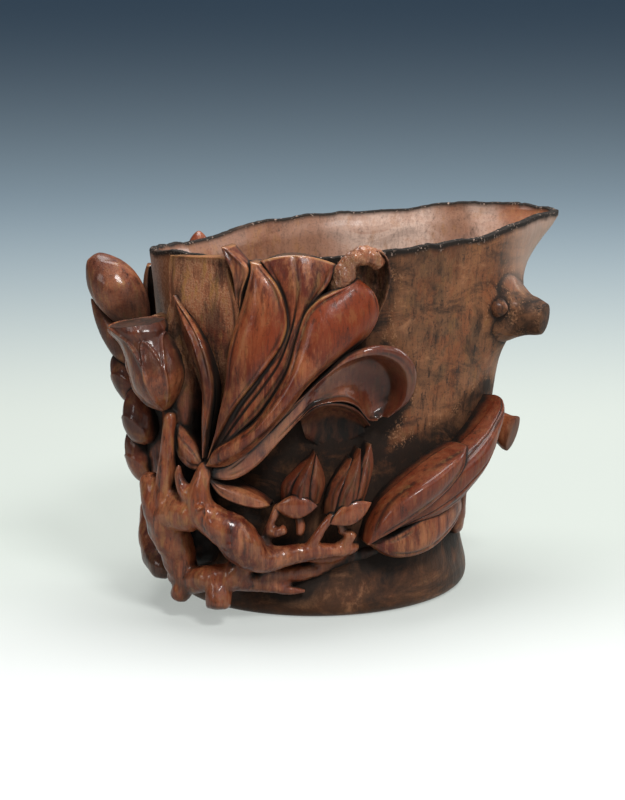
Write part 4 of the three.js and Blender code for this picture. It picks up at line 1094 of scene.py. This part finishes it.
POD_LEAVES = {
    "small_pod_left": (
        dict(left=[[-123, 32, 5], [-122, 37, 5.5], [-117, 41, 4.8], [-111, 44.2, 4]],
             middle=[[-120, 32, 7], [-119, 37, 7.8], [-115, 41, 6.6], [-110.6, 44.3, 4.2]],
             right=[[-117, 32, 5.6], [-115.5, 37, 6], [-113, 41, 5.2], [-110.2, 44.3, 4]]),
        dict(left=[[-119.6, 32, 7], [-118.6, 36, 7.8], [-115.6, 40.4, 7], [-110.4, 45, 4.4]],
             middle=[[-116.6, 32, 9.6], [-115.6, 36, 10], [-113.6, 40.4, 8.4], [-110.2, 45.2, 5]],
             right=[[-113.4, 32, 8], [-112.8, 36, 8.4], [-111.6, 40.4, 7], [-110, 45, 4.4]]),
        dict(left=[[-118, 32, 5.8], [-115.4, 37, 6.2], [-113, 41, 5.4], [-110.2, 44.4, 4.2]],
             middle=[[-113.5, 32, 8], [-112, 37, 8.6], [-110.5, 41, 7], [-109.8, 44.6, 4.4]],
             right=[[-109.5, 32, 5], [-107.6, 36.5, 5.4], [-107.8, 40, 4.6], [-109.5, 44.2, 4]]),
    ),
    "small_pod_right": (
        dict(left=[[-109, 29, 5], [-108, 34, 5.4], [-105, 38, 5], [-99, 43, 4]],
             middle=[[-106, 29, 8], [-104.4, 35, 8.6], [-101.4, 39, 7], [-98.4, 43.2, 4.4]],
             right=[[-103, 29, 6], [-101.4, 35, 6.2], [-99, 39.5, 5.2], [-98, 43, 4.2]]),
        dict(left=[[-106.4, 30, 7], [-104, 35, 7.8], [-100.6, 40, 6.8], [-96, 45.4, 4]],
             middle=[[-102.4, 30, 9.6], [-101, 35, 10], [-98.4, 40, 8.4], [-95.6, 45.6, 4.8]],
             right=[[-99, 30, 8], [-97.6, 35, 8.6], [-96.4, 40, 7], [-95.2, 45.4, 4]]),
        dict(left=[[-104, 29, 6], [-101, 35, 6.4], [-98, 40, 5.6], [-93, 46, 4]],
             middle=[[-100, 30, 9], [-97.4, 36, 9.2], [-95, 41, 7.2], [-92.4, 46.4, 4.4]],
             right=[[-95.5, 31, 5.4], [-93, 37, 5.6], [-91.4, 41.5, 5], [-91.6, 46.4, 4]]),
    ),
}  # fmt: skip
POD_FACES = {
    "small_pod_left": (
        ([-124.4, 31.6, 9], [-111, 32.4, 9.6], 3.1, 0.42),
        ([-117, 29.5, 3.4], [-111.5, 43, 3.6], 4.4, 0.8),
    ),
    "small_pod_right": (
        ([-107.4, 27.4, 9.2], [-94.4, 32.6, 9.6], 2.9, 0.42),
        ([-103.5, 26.5, 3.4], [-94.5, 43, 3.8], 4.2, 0.8),
    ),
}
RIGHT_RELIEFS = {
    "large_bud_sheath": dict(
        left=[[-96, 21.5, 5.5], [-94.5, 26, 6], [-90, 31.5, 6], [-82, 36, 5.5], [-74, 39.5, 5],
            [-66, 42, 4.6], [-58.5, 43.4, 4.6]],
        middle=[[-95, 21, 8], [-90, 26.5, 11], [-84, 31.5, 12.5], [-78, 35, 13], [-71, 38, 12.5],
            [-64.5, 40.8, 11], [-58.5, 42.8, 7.4]],
        right=[[-95, 20.5, 6], [-87, 24, 8.4], [-79, 27.4, 9], [-73, 30.2, 9.4], [-67, 33.3, 9.4],
            [-62, 37.6, 9], [-58.5, 42.4, 6.4]],
        lip_right=0.7, lip_width=0.7, edge=1.0, fullness=1.3, blush=0.5, soot=0.24,
    ),
    "large_bud_tip": dict(
        left=[[-86, 24, 5], [-78, 31, 6], [-70, 37.4, 6], [-60, 41.8, 5.4], [-49, 46.8, 5.4],
            [-41.5, 51, 5.6], [-37.6, 53, 5]],
        middle=[[-84, 24, 6.5], [-71, 30, 9.4], [-62.5, 35, 11], [-54, 39.8, 11.4], [-46, 45.2, 9.8],
            [-40.4, 49.8, 7.8], [-37.2, 52.6, 5.4]],
        right=[[-82, 23.6, 5.5], [-66, 25.6, 7], [-57.5, 28.8, 8], [-49.5, 34.5, 8.5], [-43.4, 41, 8.2],
            [-39.4, 47.4, 6.8], [-37, 52, 5]],
        edge=1.1, fullness=1.3, tip=1.5, folds=[(0.42, 0.35, 0.05), (-0.6, 0.25, 0.06)], wear=0.3,
        blush=0.5, soot=0.24,
    ),
    "leaf_lower_right": dict(
        left=[[-95, 23, 6], [-87.5, 22.6, 6.5], [-79, 24.5, 7], [-68, 28, 6.5], [-57, 29.5, 5],
            [-47.5, 26.5, 3.6]],
        middle=[5.8, 7.4, 7.6, 7, 5.8, 3.8],
        right=[[-94.5, 20.5, 5], [-86.5, 16.5, 4.6], [-76.5, 15.4, 4.6], [-64, 17, 4.4], [-52, 21, 4],
            [-46, 24.6, 3.4]],
        lip_right=0.4, edge=0.9, fullness=1.2, around=80, along=100,
    ),
}  # fmt: skip
STEM = [[-38, 16.5, 0.4, 2.2], [-43, 20, 1.2, 2.8], [-46, 25, 1.8, 3], [-47, 30, 1.8, 2.4]]


class BAMBOOCUP_OT_right_bud(bpy.types.Operator):
    """Models the large closed bud with its leaf, and the two small pods beside it"""

    bl_idname = "bamboocup.right_bud"
    bl_label = "Large bud and pods"

    def execute(self, context):
        for name, form in RIGHT_RELIEFS.items():
            settled(carved_relief("carved_" + name, **form), name)
        common = dict(around=64, along=72, edge=0.5, fullness=0.7, blush=0.5, soot=0.29)
        for name, leaves in POD_LEAVES.items():
            parts = [carved_relief(name, **common, **leaf) for leaf in leaves]
            for start, end, radius, flat in POD_FACES[name]:
                parts.append(pod(name, start, end, radius, 40, 40, flat=flat, blunt=0.9, peak=0.5))
            settled(joined("carved_" + name, parts), name)
        settled(limb("carved_stem_lower_right", STEM, gnarl=0.14), "stem_lower_right")
        return {"FINISHED"}


LOWER_STUB = [
    [-26, 43, -1, 5.8], [-26.5, 42.8, 3, 4.8], [-27, 42, 6.2, 4.4], [-27.4, 41.4, 8.2, 4.9],
    [-27.6, 41, 9.8, 4.8],
]  # fmt: skip
UPPER_STUB = [
    [-33, 76, -2, 11.4], [-33, 75.6, 0.6, 10.2], [-33, 75, 4, 7.6], [-33, 74.4, 8, 5.5],
    [-33, 73.8, 11.4, 4.6], [-33, 73.6, 13, 4.2],
]  # fmt: skip


class BAMBOOCUP_OT_stubs(bpy.types.Operator):
    """Models the two sawn branch stubs at the right and the knot beside the upper one"""

    bl_idname = "bamboocup.stubs"
    bl_label = "Stubs and knot"

    def execute(self, context):
        low = limb("carved_stub_lower_right", LOWER_STUB, 64, 80, gnarl=0.09)
        settled(low, "stub_lower_right")
        high = limb("carved_stub_upper_right", UPPER_STUB, 64, 80, gnarl=0.08)
        settled(high, "stub_upper_right", wall=True)
        knot = pod("carved_knot_upper_right", [-43, 77.6, 0], [-44, 77.2, 5.8], 2.7)
        settled(knot, "knot_upper_right", wall=True)
        return {"FINISHED"}


BACK_RELIEFS = {
    "petal_rim_back": dict(
        left=[[-213, 64, 2.5], [-207, 73, 3], [-206, 80, 3], [-210, 86.5, 2.6]],
        middle=[[-215, 64, 4.5], [-214, 73, 6.2], [-213.5, 80, 5.2], [-213, 87, 3]],
        right=[[-217, 64, 2.5], [-221, 73, 3], [-221, 80, 3], [-216.5, 86.5, 2.6]],
    ),
    "leaf_back": dict(
        left=[[-268, 31, 3], [-274, 39, 3.5], [-282, 47, 3.5], [-292, 54, 3]],
        middle=[[-269, 30, 4.5], [-278, 36, 6], [-286, 44, 5.5], [-293, 53, 3.5]],
        right=[[-270, 29, 3], [-281, 33, 3.5], [-290, 42, 3.5], [-294, 52, 3]],
    ),
    "flower_back_petal_left": dict(
        left=[[-243, 68, 5], [-250, 74, 5], [-257, 82, 4], [-262, 89, 3]],
        middle=[[-242, 67, 7], [-248, 70, 8.5], [-256, 77, 7.5], [-264, 87, 3.5]],
        right=[[-241, 65, 5], [-247, 66, 5.5], [-256, 72, 5], [-265, 84, 3]],
    ),
    "flower_back_petal_right": dict(
        left=[[-242, 62, 5], [-251, 63.5, 5], [-262, 67, 4], [-273, 73, 3]],
        middle=[[-242, 60.5, 7], [-252, 60, 8.5], [-264, 62, 7], [-275, 70, 3.5]],
        right=[[-241, 59, 5], [-251, 56, 5.5], [-263, 57, 5], [-276, 67, 3]],
    ),
}  # fmt: skip


class BAMBOOCUP_OT_back_spray(bpy.types.Operator):
    """Models the second spray on the far side"""

    bl_idname = "bamboocup.back_spray"
    bl_label = "Spray at the back"
    BUD = dict(
        start=[-244, 73.5, 3.5], end=[-246, 92.6, 4], radius=4.4, peak=0.5, blunt=0.6,
        scales=[(60, 70, 0.8, 0.4), (200, 80, 0.75, 0.4)],
    )  # fmt: skip

    def execute(self, context):
        for name, form in BACK_RELIEFS.items():
            piece = carved_relief("carved_" + name, 72, 90, lip_left=0.4, lip_right=0.4, **form)
            settled(piece, name)
        settled(pod("carved_bud_rim_back", **self.BUD), "bud_rim_back")
        return {"FINISHED"}


class BAMBOOCUP_OT_patina_and_shade(bpy.types.Operator):
    """Marks how shut in and how rubbed each spot is: painted shade with sooty dirt in the recesses, and
    the rubbed crests
    """

    bl_idname = "bamboocup.patina"
    bl_label = "Patina"
    # The amount of each mark for the pieces whose names hold a word
    MARKS = (
        ("crust", {
            "petal_back_left": 1.0, "petal_top_right": 0.65, "bud_upper": 0.4, "bud_middle": 0.15,
        }),
        ("gloss", {
            "curled": 0.55, "bud": 0.3, "branchwork": 0.22, "sepal": 0.3, "sliver": 0.2, "pod": 0.2,
            "back_centre": -0.13, "top_right": 0.35,
        }),
    )  # fmt: skip
    BUD_BLUSH = 0.36
    RAYS = 10
    HALO = 10 * MM  # how far painted shade and soot reach over the wall round a carving

    def execute(self, context):
        ours = (wall_material(), carving_material())
        pieces = [o for o in context.scene.objects if o.type == "MESH" and o.active_material in ours]
        everything = self.tree_of(pieces)
        carving = self.tree_of([p for p in pieces if p.name != "trunk_wall"])
        for piece in pieces:
            places, normals = vectors(piece.data), vectors(piece.data, "normal")
            degrees, off = trunk().beyond(places)
            shut = self.shut_in(places, normals, everything)
            if piece.name == "trunk_wall":
                shut = self.shaded_and_sooted_wall(piece, places, normals, degrees, off, shut, carving)
            else:
                shut = self.shaded_and_sooted_carving(piece, places, degrees, off, shut)
            edges = np.empty(2 * len(piece.data.edges), int)
            piece.data.edges.foreach_get("vertices", edges)
            edges = edges.reshape(-1, 2)
            shut = self.spread(shut, edges, 3)
            middle = np.stack([self.spread(places[:, i], edges, 2) for i in range(3)], -1)
            bend = self.spread(((places - middle) * normals).sum(1) / (0.25 * MM), edges, 2)
            # recess holds the painted shade of the recesses together with the soot; ridge, the rubbed
            # crests
            marked(piece, recess=np.clip(shut * 1.6, 0, 1), ridge=np.clip(bend, 0, 1))
        return {"FINISHED"}

    @staticmethod
    def tree_of(pieces):
        corners, faces, start = [], [], 0
        for piece in pieces:
            mesh = piece.data
            mesh.calc_loop_triangles()
            triangles = np.empty(3 * len(mesh.loop_triangles), int)
            mesh.loop_triangles.foreach_get("vertices", triangles)
            corners.append(vectors(mesh))
            faces.extend((triangles.reshape(-1, 3) + start).tolist())
            start += len(mesh.vertices)
        return BVHTree.FromPolygons(np.vstack(corners).tolist(), faces)

    def shut_in(self, places, normals, tree):
        """How much of the sky over each spot its neighbours hide, from 0 to 1."""
        reach = bpy.context.scene.bamboo_cup_sizes.recess_reach
        ways = []
        for k in range(self.RAYS):
            height = (k + 0.5) / self.RAYS
            turn = k * math.pi * (3 - math.sqrt(5))
            flat = math.sqrt(1 - height * height)
            ways.append((flat * math.cos(turn), flat * math.sin(turn), height))
        shut = np.zeros(len(places))
        for k, (place, normal) in enumerate(zip(places, normals)):
            side = (-normal[1], normal[0], 0.0) if abs(normal[2]) < 0.9 else (1.0, 0.0, 0.0)
            z = Vector(normal)
            x = z.cross(Vector(side)).normalized()
            y = z.cross(x)
            origin = Vector(place) + z * 0.25 * MM
            total = 0.0
            for a, b, c in ways:
                hit = tree.ray_cast(origin, x * a + y * b + z * c, reach)[3]
                if hit is not None:
                    total += 1 - hit / reach
            shut[k] = total / self.RAYS
        return shut

    def shaded_and_sooted_wall(self, piece, places, normals, degrees, off, shut, carving):
        """Painted shade with sooty dirt round the carvings: less on the open left flank and beside the
        upper stub, more below the flower and under the curled petal; it also marks the left flank's crust,
        which is partly painted light
        """
        high = places[:, 2] / MM
        halo = smooth(-168, -140, degrees) * (0.5 + 0.6 * lump(high, 48, 22)) + 0.5 * (degrees > 0)
        # painted shade under the curled petal
        halo = halo + 0.45 * lump(degrees, -97, 10) * lump(high, 72, 13)
        halo = halo * (1 - 0.7 * smooth(-66, -54, degrees) * smooth(54, 60, high) * (degrees < 0))
        for k, (place, normal) in enumerate(zip(places, normals)):
            if place[2] < 99 * MM:
                gap = carving.find_nearest(Vector(place), self.HALO)[3]
                if gap is not None and normal @ (place * (1, 1, 0)) > 0:
                    shut[k] = max(shut[k], 0.80 * halo[k] * (1 - gap / self.HALO) ** 1.2)
        # less painted shade on the open left flank
        flank = smooth(-156, -161, degrees) * smooth(66 * MM, 74 * MM, places[:, 2]) + (degrees > 150)
        shut = shut * (1 - 0.8 * np.minimum(flank, 1))
        # painted shade, with patina, on the deep ground below the flower
        below = 0.5 * lump(degrees, -112, 17) * lump(high, 42, 8) * (off > -1 * MM)
        # the left flank's crust: a dry crust that is also partly painted light on its shaded side
        left = np.minimum(smooth(-153, -160, degrees) + (degrees > 150), 1)
        marked(piece, crust=left * smooth(0.050, 0.066, places[:, 2]))
        return np.maximum(shut, below * (1 + 0.3 * ripple(places / MM, 1.2)))

    def shaded_and_sooted_carving(self, piece, places, degrees, off, shut):
        for mark, amounts in self.MARKS:
            for word, amount in amounts.items():
                if word in piece.name:
                    marked(piece, **{mark: np.full(len(places), amount)})
        if "bud_" in piece.name and "blush" not in piece.data.attributes:
            marked(piece, blush=np.full(len(places), self.BUD_BLUSH))
        if "soot" in piece.data.attributes:
            soot = np.empty(len(places))
            piece.data.attributes["soot"].data.foreach_get("value", soot)
            shut = np.maximum(shut, soot)
        if "stub" in piece.name:
            shut = np.maximum(shut, 0.32 * smooth(4 * MM, 10 * MM, off))
        # painted shade where the carving meets the wall
        shut = np.maximum(shut, 0.4 * smooth(2.6 * MM, 0.6 * MM, off))
        if "branchwork" in piece.name:
            # painted shade deep in the openings among the branches
            deep = smooth(10.5 * MM, 7.5 * MM, off) * lump(places[:, 2] / MM, 35, 22) ** 0.5
            shut = np.maximum(shut, 0.62 * deep * smooth(-124, -134, degrees))
        if "petal_back_left" in piece.name:
            below = trunk().rim_at(degrees) - places[:, 2] + 0.5 * MM * ripple(places / MM, 1.6)
            shut = np.maximum(shut, 0.6 * smooth(1.3 * MM, 0.5 * MM, below))
        return shut

    @staticmethod
    def spread(values, edges, times):
        """Evens out values over the neighbouring vertices."""
        for _ in range(times):
            total = values.copy()
            count = np.ones(len(values))
            np.add.at(total, edges[:, 0], values[edges[:, 1]])
            np.add.at(total, edges[:, 1], values[edges[:, 0]])
            np.add.at(count, edges[:, 0], 1)
            np.add.at(count, edges[:, 1], 1)
            values = total / count
        return values


class BAMBOOCUP_OT_stage(bpy.types.Operator):
    """Sets the pale floor and backdrop, the soft lights and the camera"""

    bl_idname = "bamboocup.stage"
    bl_label = "Stage"
    # Name, place, width in metres and power in watts
    LIGHTS = (
        ("top_softbox", (0.05, 0.15, 0.80), 0.50, 8.5),
        ("front_softbox", (-0.02, -0.66, 0.74), 0.20, 7.2),
        ("front_fill", (0.16, -0.95, 0.28), 0.60, 0.7),
        ("right_softbox", (0.60, -0.55, 0.50), 0.45, 1.4),
        ("back_right_softbox", (0.70, 0.12, 0.40), 0.30, 2.2),
        ("left_softbox", (-0.74, -0.30, 0.42), 0.26, 1.3),
    )
    LIT = (0, 0, 0.05)  # what the lights aim at
    CAMERA, AIM = (-0.2270, -0.5619, 0.185), (-0.002, 0.0008, 0.050)

    def execute(self, context):
        self.floor()
        self.room()
        for name, place, size, power in self.LIGHTS:
            data = bpy.data.lights.new(name, "AREA")
            data.size, data.energy = size, power
            self.aimed(name, data, place, self.LIT)
        data = bpy.data.cameras.new("camera")
        data.sensor_width, data.lens, data.clip_start = 36, 102.56, 0.01
        context.scene.camera = self.aimed("camera", data, self.CAMERA, self.AIM)
        context.scene.view_settings.view_transform = "Standard"
        return {"FINISHED"}

    @staticmethod
    def floor():
        deselect()
        bpy.ops.mesh.primitive_plane_add(size=14, location=(0, 0, 0))
        floor = bpy.context.object
        floor.name = floor.data.name = "pale_floor"
        f = Finish("shaded_paper", Roughness=0.8, Specular_IOR_Level=0.1, Emission_Strength=0.45)
        # The paper darkens with the distance from the camera
        away = {0: f.place(), 1: (0.375, 0.927, 0)}
        spot = f.node("ShaderNodeVectorMath", {"operation": "DOT_PRODUCT"}, away, output=1)
        nearness = 1 / (spot + 0.606).math("MAXIMUM", 0.05)
        paper = f.mix((0.055, 0.098, 0.152), (0.36, 0.47, 0.55), nearness.ramp(0.20, 0.90))
        paper = f.mix(paper, (0.71, 0.765, 0.71), nearness.ramp(0.68, 1.28))
        paper = f.mix(paper, (0.98, 1.0, 0.99), nearness.ramp(1.5, 2.1))
        # A third of its colour takes the light and the shadows, and the rest glows evenly
        f.set("Base Color", f.mix((0, 0, 0), paper, 0.33))
        ways = ("Is Camera Ray", "Is Glossy Ray", "Is Transmission Ray")
        seen = [f.node("ShaderNodeLightPath", output=way) for way in ways]
        f.set("Emission Color", f.mix((0, 0, 0), paper, (seen[0] + seen[1] + seen[2]).clamped()))
        floor.data.materials.append(f.material)

    @staticmethod
    def room():
        """Dim grey light from all round, which the camera sees as pale blue."""
        world = bpy.data.worlds.new("soft_room")
        world.use_nodes = True
        nodes, links = world.node_tree.nodes, world.node_tree.links
        ray = nodes.new("ShaderNodeLightPath")
        mix = nodes.new("ShaderNodeMix")
        mix.data_type = "RGBA"
        mix.inputs[6].default_value = (0.115, 0.120, 0.123, 1)
        mix.inputs[7].default_value = (0.42, 0.49, 0.53, 1)
        links.new(ray.outputs["Is Camera Ray"], mix.inputs["Factor"])
        links.new(mix.outputs[2], nodes["Background"].inputs["Color"])
        bpy.context.scene.world = world

    @staticmethod
    def aimed(name, data, place, aim):
        """Adds a light or the camera at its place, turned to what it aims at."""
        thing = bpy.data.objects.new(name, data)
        thing.location = place
        thing.rotation_euler = (Vector(aim) - Vector(place)).to_track_quat("-Z", "Y").to_euler()
        bpy.context.scene.collection.objects.link(thing)
        return thing


STEPS = (
    "stage", "wall", "flower", "branchwork", "left_buds", "right_bud", "stubs", "back_spray", "patina",
)  # fmt: skip


class BAMBOOCUP_PT_panel(bpy.types.Panel):
    """Lists the cup's pieces and sizes"""

    bl_label = "Carved bamboo cup"
    bl_idname = "BAMBOOCUP_PT_panel"
    bl_space_type = "VIEW_3D"
    bl_region_type = "UI"
    bl_category = "Bamboo cup"

    def draw(self, context):
        for step in STEPS:
            self.layout.operator("bamboocup." + step)
        for group in (context.scene.bamboo_cup_sizes, context.scene.bamboo_cup_colours):
            for name in group.__annotations__:
                self.layout.prop(group, name)


CLASSES = (
    BambooCupSizes,
    BambooCupColours,
    BAMBOOCUP_OT_wall,
    BAMBOOCUP_OT_flower,
    BAMBOOCUP_OT_branchwork,
    BAMBOOCUP_OT_left_buds,
    BAMBOOCUP_OT_right_bud,
    BAMBOOCUP_OT_stubs,
    BAMBOOCUP_OT_back_spray,
    BAMBOOCUP_OT_patina_and_shade,
    BAMBOOCUP_OT_stage,
    BAMBOOCUP_PT_panel,
)


def register():
    for cls in CLASSES:
        bpy.utils.register_class(cls)
    bpy.types.Scene.bamboo_cup_sizes = PointerProperty(type=BambooCupSizes)
    bpy.types.Scene.bamboo_cup_colours = PointerProperty(type=BambooCupColours)


def unregister():
    del bpy.types.Scene.bamboo_cup_colours
    del bpy.types.Scene.bamboo_cup_sizes
    for cls in reversed(CLASSES):
        bpy.utils.unregister_class(cls)


def main():
    register()
    for step in STEPS:
        getattr(bpy.ops.bamboocup, step)()


if __name__ == "__main__":
    main()
